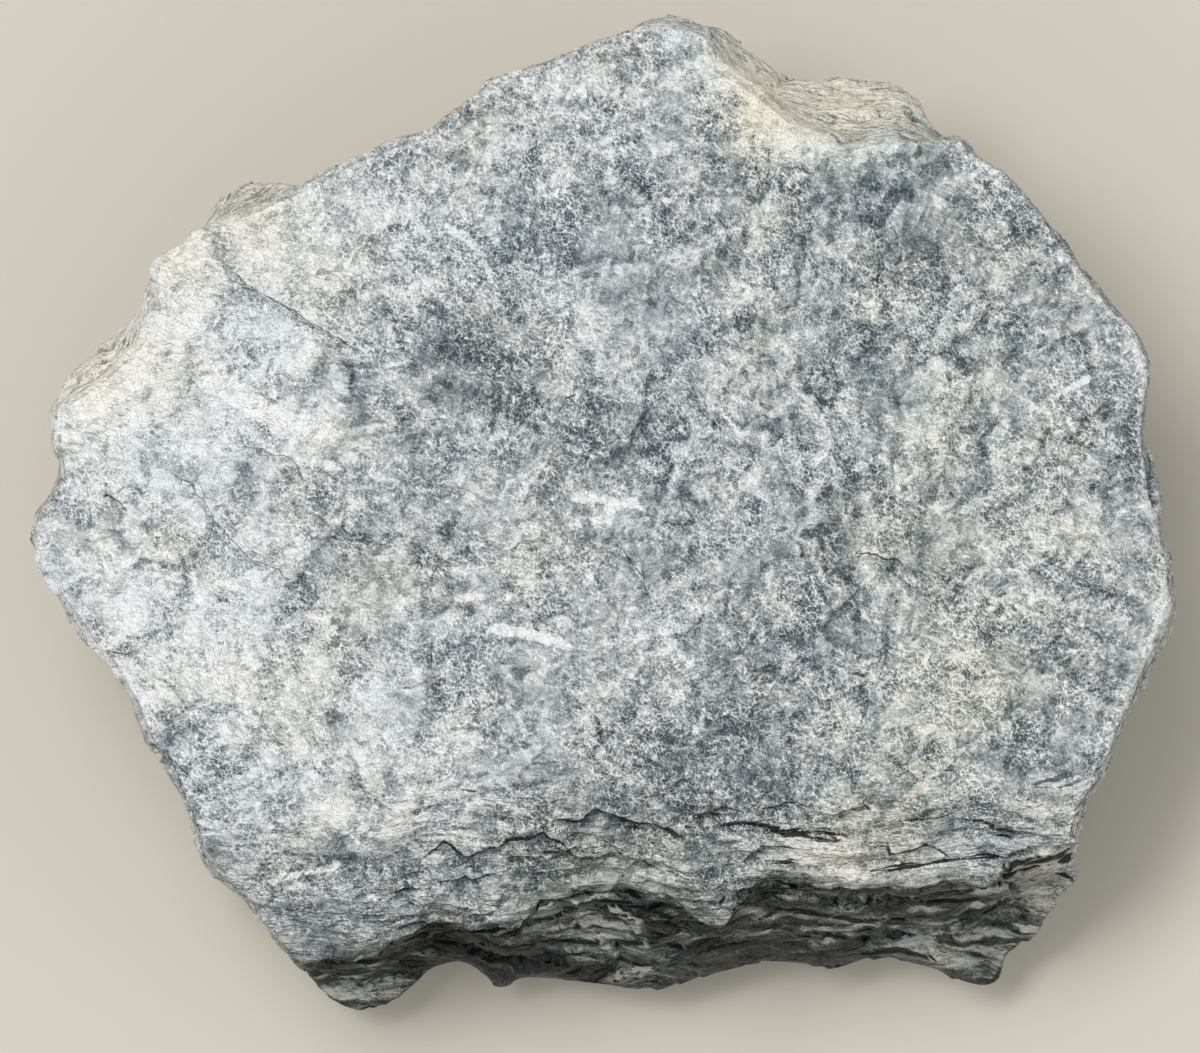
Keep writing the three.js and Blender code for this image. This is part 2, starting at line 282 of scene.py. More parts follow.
def reach(outline, bearings):
    """Distance from the middle to a closed outline along each bearing: the ray is crossed with
    the outline side whose end bearings lie on either side of it."""
    turns = np.arctan2(outline[:, 1], outline[:, 0]) % (2 * np.pi)
    order = np.argsort(turns)
    turns, corners = turns[order], outline[order]
    after = np.searchsorted(turns, bearings % (2 * np.pi)) % len(corners)
    a = corners[after - 1]
    b = corners[after]
    dx, dy = np.cos(bearings), np.sin(bearings)
    across = dx * (b[:, 1] - a[:, 1]) - dy * (b[:, 0] - a[:, 0])
    return (a[:, 0] * b[:, 1] - a[:, 1] * b[:, 0]) / across


def around(ring, width):
    """Running mean round a closed ring of values, weighted by a bell curve of that width."""
    half = int(3 * width)
    bell = np.exp(-0.5 * (np.arange(-half, half + 1) / width) ** 2)
    padded = np.concatenate([ring[-half:], ring, ring[:half]])
    return np.convolve(padded, bell / bell.sum(), mode="valid")


# ------------------------------------------------------------------ the plain body of the stone


def face_level(x, y):
    """Height of the split face: a level less bends that grow with the square of the distance past
    a line, plus three slow waves."""
    z = np.full(x.shape, HEIGHT - CREST_ALLOWANCE)
    for axis, start, way, fall in BENDS:
        z -= fall * np.maximum(0.0, ((x, y)[axis] - start) * way) ** 2
    for along, across, shift, depth in WAVES:
        z += depth * np.sin(along * x + across * y + shift)
    return z


def bent_square(cells):
    """A square grid bent into a disc: each grid point's ring, from 0 at the middle to 1 at the
    border, is the larger of its two coordinates, and its bearing turns evenly round that ring."""
    b, a = np.meshgrid(*[np.linspace(-1.0, 1.0, cells + 1)] * 2, indexing="ij")
    a, b = a.ravel(), b.ravel()
    sideways = np.abs(a) >= np.abs(b)
    lead = np.where(sideways, a, b)
    other = np.where(sideways, b, a)
    turn = np.pi / 4 * other / np.where(lead == 0.0, 1.0, lead)
    bearing = np.where(sideways, turn, np.pi / 2 - turn) + np.where(lead < 0.0, np.pi, 0.0)
    return np.abs(lead), bearing % (2 * np.pi)


def border(cells):
    """Indices of a bent square's border points, anticlockwise from bearing 0."""
    turned = (np.arange(4 * cells) + cells // 2) % (4 * cells)
    step = turned % cells
    edge = turned // cells
    a = np.choose(edge, [cells, cells - step, 0, step])
    b = np.choose(edge, [step, cells, cells - step, 0])
    return b * (cells + 1) + a


def rounded_least(distances, sharpness):
    """Least of several distances with its corners rounded: the sum of inverse powers, undone."""
    nearness = np.maximum(1.0 / distances, 0.0)
    return (nearness**sharpness).sum(axis=0) ** (-1.0 / sharpness)


def foot_reach(bearings):
    """Distance from the middle, at the resting plane, to the rounded corner-cut of the flats."""
    faces, lean, height, far = UNDER_FLATS.T[:, :, None]
    distance = far - height * np.tan(np.radians(lean))
    return rounded_least(distance / np.cos(bearings - np.radians(faces)), 8)


def belt_profile(bearings):
    """The belt as distance out and height, finely sampled down each column: a curved bevel from
    the face's edge to the outline, pulled towards or away from its corner by the fullness, then
    the nearest of the upright wall and the under flats, seen from the heart, down to the foot."""
    turned = np.degrees(bearings)
    height = np.interp(turned, RIM[:, 0], RIM[:, 1])
    fullness = np.interp(turned, RIM[:, 0], RIM[:, 2])
    outline = around(reach(OUTLINE, bearings), 1.4)
    sharp = smooth(0.4, 0.8, fullness)
    edge = outline - np.maximum(outline - reach(EDGE, bearings), 0.35) * mix(1.0, 0.35, sharp)
    top = face_level(edge * np.cos(bearings), edge * np.sin(bearings))

    s = np.linspace(0.0, 1.0, 50)[:, None]
    corner_out = mix(edge, outline, 0.5 + 0.5 * fullness)
    corner_up = mix(height, top, 0.5 + 0.5 * fullness)
    bevel_out = (1 - s) ** 2 * edge + 2 * s * (1 - s) * corner_out + s**2 * outline
    bevel_up = (1 - s) ** 2 * top + 2 * s * (1 - s) * corner_up + s**2 * height

    s = np.linspace(0.0, 1.0, 71)[1:, None]
    chord_out = mix(outline, foot_reach(bearings), s)
    chord_up = mix(height, 0.0, s) - HEART
    length = np.hypot(chord_out, chord_up)
    out, up = chord_out / length, chord_up / length
    faces, lean, start, far = UNDER_FLATS.T[:, :, None, None]
    lean = np.radians(lean)
    facing = np.cos(bearings - np.radians(faces)) * np.cos(lean)
    offset = far * np.cos(lean) - (start - HEART) * np.sin(lean)
    flats = offset / (facing * out - np.sin(lean) * up)
    wall = outline / out
    low = rounded_least(np.concatenate([wall[None], flats]), 18)
    distance = mix(mix(wall, low, smooth(0.0, 0.3, s)), length, smooth(0.85, 1.0, s))
    side_out = distance * out
    side_up = np.maximum(0.0, HEART + distance * up)
    out = np.concatenate([bevel_out, side_out])
    up = np.concatenate([bevel_up, side_up])
    return out, up, len(bevel_out)


def spaced_rows(out, up, rows, outline_row):
    """The same profiles with their rows respaced along each column: even, but UPPER_SHARE times
    closer above the outline than below it. Also returns each new point's distance along the
    profile from the face's edge, and the distance at which the outline is."""
    lengths = np.hypot(np.diff(out, axis=0), np.diff(up, axis=0))
    weights = np.where(np.arange(len(lengths)) < outline_row - 1, UPPER_SHARE, 1.0)[:, None]
    travelled = np.zeros(out.shape)
    travelled[1:] = np.cumsum(lengths, axis=0)
    weighted = np.zeros(out.shape)
    weighted[1:] = np.cumsum(lengths * weights, axis=0)
    wanted = np.linspace(0.0, 1.0, rows + 1)[:, None] * weighted[-1]
    after = (weighted[None] < wanted[:, None]).sum(axis=1).clip(1, len(out) - 1)
    low = np.take_along_axis(weighted, after - 1, axis=0)
    high = np.take_along_axis(weighted, after, axis=0)
    share = (wanted - low) / np.maximum(high - low, 1e-9)

    def resampled(values):
        """The values read off at the new places down each column."""
        return mix(
            np.take_along_axis(values, after - 1, axis=0),
            np.take_along_axis(values, after, axis=0),
            share,
        )

    return resampled(out), resampled(up), resampled(travelled), travelled[outline_row - 1]


def quads(grid):
    """Four-cornered faces of a grid of point numbers, turning from the rows to the columns."""
    corners = [grid[:-1, :-1], grid[:-1, 1:], grid[1:, 1:], grid[1:, :-1]]
    return np.stack(corners, axis=-1).reshape(-1, 4)


def stone_points():
    """Points of the plain body's face, belt and bed, and each belt point's distance down its
    column from the outline and from the face's edge. The face spreads from its hub to the edge,
    whose bends fade out inwards."""
    bearings = np.arange(COLUMNS) * 2 * np.pi / COLUMNS
    out, up, outline_row = belt_profile(bearings)
    out, up, from_edge, outline_at = spaced_rows(out, up, BELT_ROWS, outline_row)

    def read_off(values, turn):
        """A value of each column, read off at other bearings."""
        return np.interp(turn, np.append(bearings, 2 * np.pi), np.append(values, values[0]))

    edge = np.stack([out[0] * np.cos(bearings), out[0] * np.sin(bearings)], axis=1)
    eased = np.stack([around(edge[:, axis], EASED_COLUMNS) for axis in (0, 1)], axis=1)
    ring, turn = bent_square(FACE_CELLS)
    rim = np.stack([read_off(edge[:, axis], turn) for axis in (0, 1)], axis=1)
    soft = np.stack([read_off(eased[:, axis], turn) for axis in (0, 1)], axis=1)
    plan = HUB + ring[:, None] * (mix(soft, rim, ring[:, None] ** 4) - HUB)
    face = np.column_stack([plan, face_level(plan[:, 0], plan[:, 1])])

    belt = np.stack([out * np.cos(bearings), out * np.sin(bearings), up], axis=-1)[1:]

    ring, turn = bent_square(BED_CELLS)
    foot = read_off(out[-1], turn) * BED_SHARE
    bed = np.column_stack([ring * foot * np.cos(turn), ring * foot * np.sin(turn), 0.0 * ring])
    below = (from_edge - outline_at)[1:]
    return face, belt.reshape(-1, 3), bed, below.ravel(), from_edge[1:].ravel()


def stone_faces():
    """Four-cornered faces of the face, belt and bed in turn, and the triangles that join belt to
    bed. The bed's border has half the belt's columns: three triangles take the place of each
    pair of quads."""
    face_points = (FACE_CELLS + 1) ** 2
    bed_start = face_points + BELT_ROWS * COLUMNS
    face_grid = np.arange(face_points).reshape(FACE_CELLS + 1, FACE_CELLS + 1)
    belt_grid = face_points + np.arange(BELT_ROWS * COLUMNS).reshape(BELT_ROWS, COLUMNS)
    belt_grid = np.concatenate([border(FACE_CELLS)[None], belt_grid])
    closed_belt = np.concatenate([belt_grid, belt_grid[:, :1]], axis=1)
    bed_grid = bed_start + np.arange((BED_CELLS + 1) ** 2).reshape(BED_CELLS + 1, BED_CELLS + 1)

    foot_ring = belt_grid[-1]
    first, second, third = foot_ring[0::2], foot_ring[1::2], np.roll(foot_ring[0::2], -1)
    inner = bed_start + border(BED_CELLS)
    inner_next = np.roll(inner, -1)
    triangles = np.concatenate([
        np.stack([second, first, inner], axis=1),
        np.stack([second, inner, inner_next], axis=1),
        np.stack([third, second, inner_next], axis=1),
    ])
    rectangles = np.concatenate([
        quads(face_grid),
        quads(closed_belt.T),
        quads(bed_grid)[:, ::-1],
    ])
    return rectangles, triangles


def stone_grids():
    """The plain body as points and faces, and every point's distance down from the outline and
    from the face's edge."""
    face, belt, bed, below, from_edge = stone_points()
    rectangles, triangles = stone_faces()
    points = np.concatenate([face, belt, bed])
    on_bed = np.full(len(bed), ON_BED)
    below = np.concatenate([np.full(len(face), ON_FACE), below, on_bed])
    from_edge = np.concatenate([np.zeros(len(face)), from_edge, on_bed])
    return points, rectangles, triangles, below, from_edge


def outward(points, rectangles, triangles):
    """Outward direction at each point: the sum, over its faces, of the cross product of a
    face's two diagonals, or of a triangle's first two sides."""
    total = np.zeros(points.shape)
    for faces in (rectangles, triangles):
        corners = points[faces]
        middle = faces.shape[1] // 2
        normal = np.cross(corners[:, middle] - corners[:, 0], corners[:, -1] - corners[:, 1])
        for corner in range(faces.shape[1]):
            for axis in range(3):
                total[:, axis] += np.bincount(faces[:, corner], normal[:, axis], len(points))
    return total / np.maximum(np.linalg.norm(total, axis=1, keepdims=True), 1e-12)


# ------------------------------------------------------------------ relief

# Ledges in the split face: the line, with the low side on its right hand, then the drop, how far
# the low side takes to rise again, and how open the crack at its foot is.
LEDGES = [
    ([(-32.3, 21.3), (-30.8, 20.2), (-29.1, 19.0), (-27.4, 17.9), (-25.3, 16.6), (-21.9, 14.9),
      (-19.9, 13.6)], 0.9, 9.0, 0.5),
    ([(-42.6, 1.8), (-41.0, 1.4), (-39.7, 0.4)], 0.3, 3.0, 0.6),
    ([(-37.6, 3.3), (-36.3, 3.5), (-35.0, 2.7), (-33.1, 0.6), (-32.3, -0.9), (-28.7, -4.3),
      (-25.7, -6.0)], 0.35, 5.0, 0.35),
    ([(-30.8, 5.9), (-27.4, 5.2), (-26.1, 4.4), (-24.9, 2.2)], 0.4, 5.0, 0.3),
    ([(-42.2, -11.3), (-39.7, -11.7)], 0.3, 2.0, 0.7),
    ([(-37.1, -19.4), (-35.9, -20.8), (-34.6, -21.9)], 0.3, 2.0, 0.6),
    ([(-3.3, -14.7), (-0.3, -17.4), (3.9, -21.5)], 0.3, 4.0, 0.3),
    ([(1.4, -2.4), (3.1, -5.0), (4.4, -7.9)], 0.25, 3.0, 0.5),
    ([(-3.4, 10.0), (-2.2, 10.2)], 0.2, 1.5, 0.7),
    ([(7.5, 13.0), (8.4, 9.8), (9.0, 7.3)], 0.2, 2.0, 0.2),
    ([(19.9, 9.9), (19.4, 12.8), (19.0, 14.5)], 0.15, 1.5, 0.3),
    ([(17.4, 1.4), (16.9, 3.5), (16.6, 5.6), (16.0, 8.6), (15.2, 11.5)], 0.2, 2.0, 0.15),
    ([(21.0, -2.4), (20.9, 0.1), (20.2, 2.2), (19.6, 3.5), (19.0, 5.6),
      (18.8, 9.9)], 0.25, 2.0, 0.1),
    ([(22.9, 18.3), (23.2, 21.9)], 0.15, 1.5, 0.4),
    ([(24.9, 7.3), (24.3, 9.9)], 0.15, 1.5, 0.15),
    ([(18.7, -14.7), (18.8, -10.5), (18.2, -7.1)], 0.2, 2.0, 0.1),
    ([(13.0, -19.5), (12.3, -13.5), (12.8, -8.0)], 0.2, 2.5, 0.0),
    ([(24.0, -19.0), (23.4, -14.0), (23.8, -9.0), (23.0, -6.0)], 0.2, 2.5, 0.0),
    ([(16.6, 27.5), (17.2, 23.0), (16.8, 18.0), (17.9, 15.0)], 0.25, 2.5, 0.0),
    ([(20.9, -3.0), (23.1, -3.2), (25.3, -4.4)], 0.3, 2.0, 0.8),
    ([(-15.5, -30.1), (-14.7, -28.9), (-13.4, -28.2), (-11.3, -28.7), (-8.8, -28.1),
      (-7.1, -27.4), (-5.0, -27.0), (-2.4, -28.3)], 0.7, 3.0, 1.5),
    ([(-4.5, -25.9), (-2.0, -25.7), (-0.6, -24.7), (1.8, -25.5), (3.5, -26.0), (5.6, -26.6),
      (7.3, -27.4)], 0.7, 3.5, 1.5),
    ([(-5.4, -28.7), (-2.8, -28.7), (-0.3, -29.7)], 0.4, 1.5, 1.2),
    ([(-0.3, -27.4), (2.2, -29.1), (4.8, -29.7)], 0.4, 1.5, 1.0),
    ([(11.6, -29.6), (12.4, -28.7), (13.3, -28.0), (16.2, -28.1)], 0.6, 2.5, 1.3),
    ([(13.3, -25.0), (14.9, -24.8), (16.4, -24.4)], 0.4, 2.0, 1.0),
    ([(18.8, -25.5), (20.5, -24.9), (21.9, -24.3), (22.7, -25.0)], 0.5, 2.5, 1.2),
    ([(23.6, -27.6), (24.3, -29.0), (26.0, -28.6), (27.0, -27.8), (29.3, -29.3)], 0.6, 2.5, 1.3),
    ([(-14.2, -31.2), (-12.0, -30.6), (-9.4, -30.9)], 0.3, 1.5, 0.9),
    ([(7.6, -25.6), (10.2, -24.6), (12.0, -25.2)], 0.4, 2.0, 0.9),
    ([(29.6, -25.4), (32.6, -26.2), (35.0, -27.2), (38.6, -27.0)], 0.4, 2.0, 1.0),
]

# Gaps between leaves under the front lip: the line in plan, depth, half width.
GAPS = [
    ([(-25.7, -38.0), (-22.0, -37.9), (-19.0, -37.6), (-18.0, -36.6), (-14.8, -35.4),
      (-12.0, -35.2)], 0.8, 0.4),
    ([(-15.4, -35.9), (-12.4, -36.6), (-9.6, -36.5)], 0.9, 0.55),
    ([(-15.5, -39.2), (-12.6, -38.6), (-10.4, -39.4)], 0.6, 0.5),
    ([(-7.0, -34.6), (-4.0, -33.7), (-0.8, -32.7), (1.5, -32.6), (4.0, -33.2),
      (7.6, -34.6)], 1.1, 0.4),
    ([(-5.4, -35.5), (-2.5, -34.8), (1.0, -33.8), (3.0, -33.8), (5.4, -34.5),
      (8.0, -35.2)], 0.8, 0.3),
    ([(-8.4, -36.4), (-4.0, -36.0), (0.0, -36.2), (4.0, -36.1), (8.0, -36.8)], 1.1, 0.45),
    ([(7.3, -32.6), (11.0, -32.4), (14.4, -31.5), (16.7, -31.6), (19.8, -32.6),
      (24.3, -32.9)], 0.8, 0.35),
    ([(12.0, -34.6), (15.0, -33.2), (18.4, -33.7), (22.0, -34.4), (26.0, -34.0),
      (29.5, -33.6)], 0.9, 0.35),
    ([(14.0, -36.0), (18.0, -35.4), (22.0, -36.0), (27.0, -35.4)], 0.8, 0.35),
    ([(21.6, -37.4), (25.1, -37.0), (28.2, -37.6)], 1.3, 0.6),
    ([(21.5, -32.5), (25.1, -32.4), (29.3, -31.8), (32.0, -31.6)], 0.8, 0.35),
    ([(33.4, -31.4), (34.6, -29.4), (37.7, -28.9), (40.4, -28.7)], 1.0, 0.65),
    ([(33.3, -32.6), (34.6, -32.4), (36.4, -32.6)], 0.9, 0.4),
]

# Leaves that the rock splits into: thickness, run along the leaf, noise seed.
BEDS, LEAVES, THIN_LEAVES = (4.2, 15.0, 15), (1.9, 8.0, 31), (1.0, 5.0, 37)
RIBS, THIN_RIBS = (2.6, 13.0, 15), (1.2, 8.0, 31)
TREADS, THIN_TREADS = (2.1, 7.0, 41), (0.8, 4.0, 43)

RIPPLE_LENGTH = 14.4  # from crest to crest of the leaves' ripple, along X
RIPPLE_HEIGHT = 1.2
SCOOP_SIZE, FLAKE_SCAR_SIZE = 9.0, 3.8  # across the large and the small scars of the break

CHIPS = 44  # flat chips knocked off the sides and the underside
CHIP_DEPTHS = (0.7, 2.7)  # least and most that a chip takes off
CHIP_LEANS = (4.0, 66.0)  # least and most degrees that a chip faces down
GOLDEN_TURN = math.radians(137.508)  # spaces the chips evenly round the stone


def strike_off(points, below):
    """Knocks flat chips off the sides. Each chip is a plane that faces outwards and down, a little
    inside the stone's furthest point that way, and points beyond it are laid on it."""
    centred = points - (0.0, 0.0, HEART)
    reachable = smooth(1.5, 6.0, below)
    for number in range(CHIPS):
        bearing = number * GOLDEN_TURN
        lean = -math.radians(mix(*CHIP_LEANS, (number * 0.618) % 1.0))
        depth = mix(*CHIP_DEPTHS, (number * 0.414) % 1.0)
        facing = np.array([
            math.cos(bearing) * math.cos(lean), math.sin(bearing) * math.cos(lean), math.sin(lean),
        ])
        ahead = centred @ facing
        furthest = ahead[below > 2.0].max()
        past = np.maximum(ahead - (furthest - depth), 0.0) * reachable
        centred = centred - facing * past[:, None]
    return centred + (0.0, 0.0, HEART)


def fold_level(points, front):
    """Height in the rock's own leaves: the real height plus how far the leaves are bent down
    there. Towards the front they turn up and then stand steeply, so the face cuts across them;
    they also have a ripple that runs along Y and dies out downwards, and slow swells."""
    x, y, z = points.T
    turned_up = 0.03 * np.maximum(0.0, -14.0 - y) ** 2
    stood_up = 0.6 * smooth(-10.0, -32.0, y) * np.maximum(0.0, 34.0 - z)
    near_lip = smooth(-14.0, -28.0, y) * smooth(4.0, 30.0, z) * smooth(-26.0, -12.0, x)
    near_lip = mix(near_lip, 0.1 + 1.05 * smooth(14.0, 34.0, z), front)
    swell = 0.85 + 1.1 * noise(points * (1.0, 0.2, 0.9), 12.0, 3)
    shift = (3.0 + 3.0 * smooth(30.0, 18.0, z)) * noise(points * (1.0, 0.3, 0.8), 14.0, 9)
    turns = (x - 1.0 + shift) / RIPPLE_LENGTH
    ripple = -RIPPLE_HEIGHT * swell * near_lip * np.cos(2 * np.pi * turns)
    slow = 2.2 * noise(points * (1.0, 0.3, 0.8), 19.0, 5)
    quick = 0.6 * noise(points * (1.0, 0.4, 0.8), 6.5, 7)
    return z - turned_up + stood_up + ripple + slow + quick


def leaf_stand(points, level, thickness, run, seed):
    """How far each leaf of the rock stands back, about 0 to 1. It drifts along the leaf over the
    given run, and changes sharply where the leaf ends and the one above it begins."""
    s = level / thickness + 0.8 * noise(points, 1.4 * run, seed)
    number = np.floor(s)

    def stand(n):
        """How far leaf number n stands back at each point."""
        place = np.column_stack([points[:, 0] / run, points[:, 1] / run, n * 5.37])
        return 0.5 + 0.8 * noise(place, 1.0, seed + 6)

    return mix(stand(number), stand(number + 1.0), smooth(0.8, 1.0, s - number))


def ribbed(points, level, thickness, run, seed):
    """Rounded ribs, one for each leaf: 1 along a leaf's middle, falling to 0 in the crease between
    two leaves as the square root of 4f(1 - f), where f is the share of the way through the leaf."""
    s = level / thickness + 0.8 * noise(points, 1.4 * run, seed)
    f = s - np.floor(s)
    return np.sqrt(4.0 * f * (1.0 - f))


def swelling(points, size, seed):
    """Rounded swellings between sharp creases: the square root of a noise's size, 0 to 1."""
    return np.sqrt(np.minimum(np.abs(noise(points, size, seed)) * 2.4, 1.0))


def nearest_line(places, lines):
    """Signed distance to the nearest of several lines and the number it carries, tapered towards
    both of the line's ends and away from the line."""
    gap = np.full(len(places), 9.0)
    carried = np.zeros(len(places))
    for line, number in lines:
        here, _, share = along_line(places, line)
        nearer = np.abs(here) < np.abs(gap)
        gap = np.where(nearer, here, gap)
        carried = np.where(nearer, number * tapered(share, 0.15), carried)
    return gap, carried * smooth(2.4, 1.2, np.abs(gap))


def cut_ledges(points, on_face, shift):
    """Cuts the ledges into the face. Points near a line are drawn towards it, so the break is
    crisp, and those on its low side drop and rise again slowly."""
    for line, drop, rise_over, _ in LEDGES:
        ragged = points[:, :2] + shift
        gap, place, share = along_line(ragged, line)
        fade = tapered(share, 0.25) * on_face
        pull = 0.6 * fade * np.exp(-((gap / 0.9) ** 2))
        points[:, :2] += (place - ragged) * pull[:, None]
        gap = gap * (1.0 - pull)
        low = smooth(-0.05, 0.3, gap) * np.exp(-np.maximum(gap, 0.0) / rise_over)
        points[:, 2] -= fade * drop * low


def open_gaps(points, normals, above_outline, shift):
    """Opens the gaps under the front lip: each pushes the ground in and a little down along a
    line, by a bell of its half width, drawn closer on steep ground."""
    inwards = -normals * (1.0, 1.0, 0.3) - (0.0, 0.0, 0.35)
    ragged = points[:, :2] + 0.8 * shift
    narrowed = np.clip(normals[:, 2], 0.45, 1.0)
    for line, depth, half_width in GAPS:
        gap, _, share = along_line(ragged, line)
        fade = tapered(share, 0.2) * above_outline
        bell = fade * np.exp(-((gap / (half_width * narrowed)) ** 2))
        points = points + inwards * (depth * bell)[:, None]
    return points


def gap_shade(points, normals, above_outline, shift):
    """How deep in the shade of a gap each finished point is: bells across the gaps' lines, seen
    from above, narrowing towards the lines' ends and weaker down steep ground."""
    deep = np.zeros(len(points))
    ragged = points[:, :2] + 0.5 * shift
    for line, _, half_width in GAPS:
        gap, _, share = along_line(ragged, line)
        fade = tapered(share, 0.15)
        bell = np.exp(-((gap / (half_width * (0.2 + 0.55 * fade))) ** 2))
        deep = np.maximum(deep, bell * above_outline * smooth(0.0, 0.02, fade))
    return deep * mix(0.35, 1.0, smooth(0.0, 0.35, normals[:, 2]))


def break_sides(points, normals, below, from_edge, level, steep, front):
    """Breaks the steep ground. Leaves stand back by steps, thickest first; scoop scars meet in
    ridges away from the front, and lens-shaped leaves swell between creases on it. Points go
    inwards, mostly level. Returns them and how deep in a crease each is, for painted shade."""
    leaf_place = np.column_stack([points[:, 0], points[:, 1], 4.2 * level])
    large = swelling(leaf_place, 11.0, 63)
    scoops = scars(points * (1.0, 1.0, 1.3), SCOOP_SIZE, 67)
    flake_scars = scars(points * (1.0, 1.0, 1.4), FLAKE_SCAR_SIZE, 69)
    hackly = 2.3 * (0.7 - scoops) + 0.9 * (0.7 - flake_scars)
    rib = ribbed(points, level, *RIBS)
    thin_rib = ribbed(points, level, *THIN_RIBS)
    lenses = 0.4 * (1.0 - large) + 0.45 * (1.0 - rib) + 0.25 * (1.0 - thin_rib)
    beds = leaf_stand(points, level, *BEDS)
    leaves = leaf_stand(points, level, *LEAVES)
    thin = leaf_stand(points, level, *THIN_LEAVES)
    leafy = smooth(-0.3, 0.3, noise(points, 24.0, 61))
    inward = mix(1.1, 0.8, front) * beds + mix(0.4 + 0.6 * leafy, 0.5, front) * leaves
    inward = inward + (0.2 + 0.3 * leafy) * (1.0 - front) * thin
    inward = inward + mix(hackly * (1.0 - 0.45 * leafy), lenses, front)
    least = mix(0.2, 0.06, front)
    upper = mix(0.22, 1.0, front) * mix(0.25, 1.0, smooth(0.3, 5.0, from_edge))
    lower = mix(least, 1.0, smooth(0.5, 6.0, below))
    keep = np.where(below < 0.0, upper * mix(least, 1.0, smooth(0.0, 5.0, -below)), lower)
    inward = np.maximum(inward, -0.3) * steep * keep * smooth(0.0, 5.0, points[:, 2])
    crease_shade = np.maximum(smooth(0.75, 0.2, rib), 0.65 * smooth(0.6, 0.1, thin_rib)) * front * steep
    return points - normals * (1.0, 1.0, 0.35) * inward[:, None], crease_shade


def roughen(points, normals, steep, level, tier, calm):
    """Slow swells, tilted plates with ragged ledges between them, and small bumps, all along the
    outward direction. Where the face bends down to its front lip, thin leaves step back too.
    Calm ground keeps a quarter of it."""
    swells = 0.5 * noise(points, 21.0, 51) + 0.25 * noise(points, 9.0, 52)
    ragged = points + wander(points, 0.9, 3.0, (91, 92, 93), 1)
    ledges = 0.055 * plates(ragged, 7.5, 94) + 0.06 * plates(ragged, 2.6, 96)
    bumps = 0.14 * layered(points, 4.2, 55, 3, 0.65)
    thin_treads = leaf_stand(points, level, *THIN_TREADS)
    treads = leaf_stand(points, level, *TREADS) + 0.35 * thin_treads
    height = swells * mix(1.0, 0.3, steep) + ledges * mix(1.0, 1.6, steep) + bumps - treads * tier
    return points + normals * (height * mix(1.0, 0.25, calm))[:, None]


def convexity(points, normals, rectangles, rounds):
    """How far each point stands out from the mean of its neighbours, repeated over wider and
    wider neighbourhoods: ridges are positive and creases negative."""
    a = rectangles.ravel()
    b = np.roll(rectangles, -1, axis=1).ravel()
    count = np.bincount(a, minlength=len(points)) + np.bincount(b, minlength=len(points))
    count = np.maximum(count, 1)[:, None]
    eased = points
    for _ in range(rounds):
        onwards = [np.bincount(a, eased[b, axis], len(points)) for axis in range(3)]
        back = [np.bincount(b, eased[a, axis], len(points)) for axis in range(3)]
        eased = (np.stack(onwards, axis=1) + np.stack(back, axis=1)) / count
    return ((points - eased) * normals).sum(axis=1)


# ------------------------------------------------------------------ finish of each place

# Broad tones of the split face: middle, radius, strength (positive is paler).
TONES = [
    ((-38.0, 18.0), 9.0, 2.3), ((-43.0, 8.0), 7.0, 1.9), ((-31.0, 8.0), 7.0, 1.5),
    ((-38.0, -8.0), 9.0, 1.8), ((-29.0, -16.0), 10.0, 1.4), ((-23.0, 21.0), 9.0, 1.7),
    ((-22.0, -25.0), 6.0, 0.9), ((-10.0, 31.5), 6.0, 0.4), ((21.5, 35.5), 5.0, 2.6),
    ((13.5, 37.0), 4.0, 2.0), ((-43.0, 14.5), 4.5, 3.4), ((9.0, 40.0), 4.0, 0.6),
    ((12.0, 10.0), 4.5, 0.6), ((-3.7, 15.5), 4.5, 1.1), ((3.0, -12.5), 5.5, 0.7),
    ((-16.5, -9.0), 5.0, 0.9), ((-15.0, -23.0), 6.0, 1.2), ((28.0, -17.5), 6.0, 0.6),
    ((-7.0, -2.0), 5.5, 0.8), ((37.0, -3.0), 5.0, 0.4), ((15.3, 25.4), 3.0, 0.7),
    ((-23.0, 8.5), 3.5, 0.5), ((37.0, -27.0), 4.5, 1.3), ((19.0, -30.3), 4.5, 2.3),
    ((27.0, -30.3), 3.5, 0.8), ((-3.0, 33.5), 4.5, 0.9), ((3.5, 37.0), 4.0, 0.8),
    ((-13.5, 22.0), 3.5, 0.5), ((-3.6, -22.4), 3.5, 1.2),
    ((-13.0, 14.3), 5.0, -1.7), ((-9.0, 11.0), 4.0, -0.6), ((1.0, 8.0), 5.0, -1.4),
    ((20.5, 26.0), 5.0, -1.0), ((27.0, 26.0), 4.0, -0.9), ((36.0, 20.7), 4.5, -0.7),
    ((22.0, 15.6), 5.0, -1.1), ((-18.0, -4.0), 4.0, -0.7), ((12.0, -11.5), 3.0, -0.7),
    ((20.0, -5.5), 5.5, -1.0), ((37.6, -14.5), 5.5, -0.9), ((45.0, 5.0), 4.0, -0.6),
    ((7.0, -20.5), 6.0, -1.35), ((16.0, -21.0), 6.5, -1.0), ((29.8, -23.4), 4.5, -1.1),
    ((-20.0, -29.5), 3.5, -1.3), ((-5.0, 25.0), 4.0, -0.6), ((10.0, 31.0), 3.0, -0.6),
    ((-2.0, -26.8), 5.5, -1.7), ((-4.0, -31.0), 5.0, -0.6), ((9.2, -31.0), 3.2, -1.6),
    ((-14.0, -32.5), 4.0, -0.6), ((-25.0, -33.0), 5.0, -0.5), ((-38.0, -20.5), 5.0, -1.4),
    ((-10.6, -16.0), 2.6, -1.0), ((16.0, 5.0), 4.0, -0.5), ((29.7, 8.7), 4.0, -0.5),
    ((23.2, -26.0), 3.5, -1.1), ((30.0, -7.5), 4.5, -0.4),
]

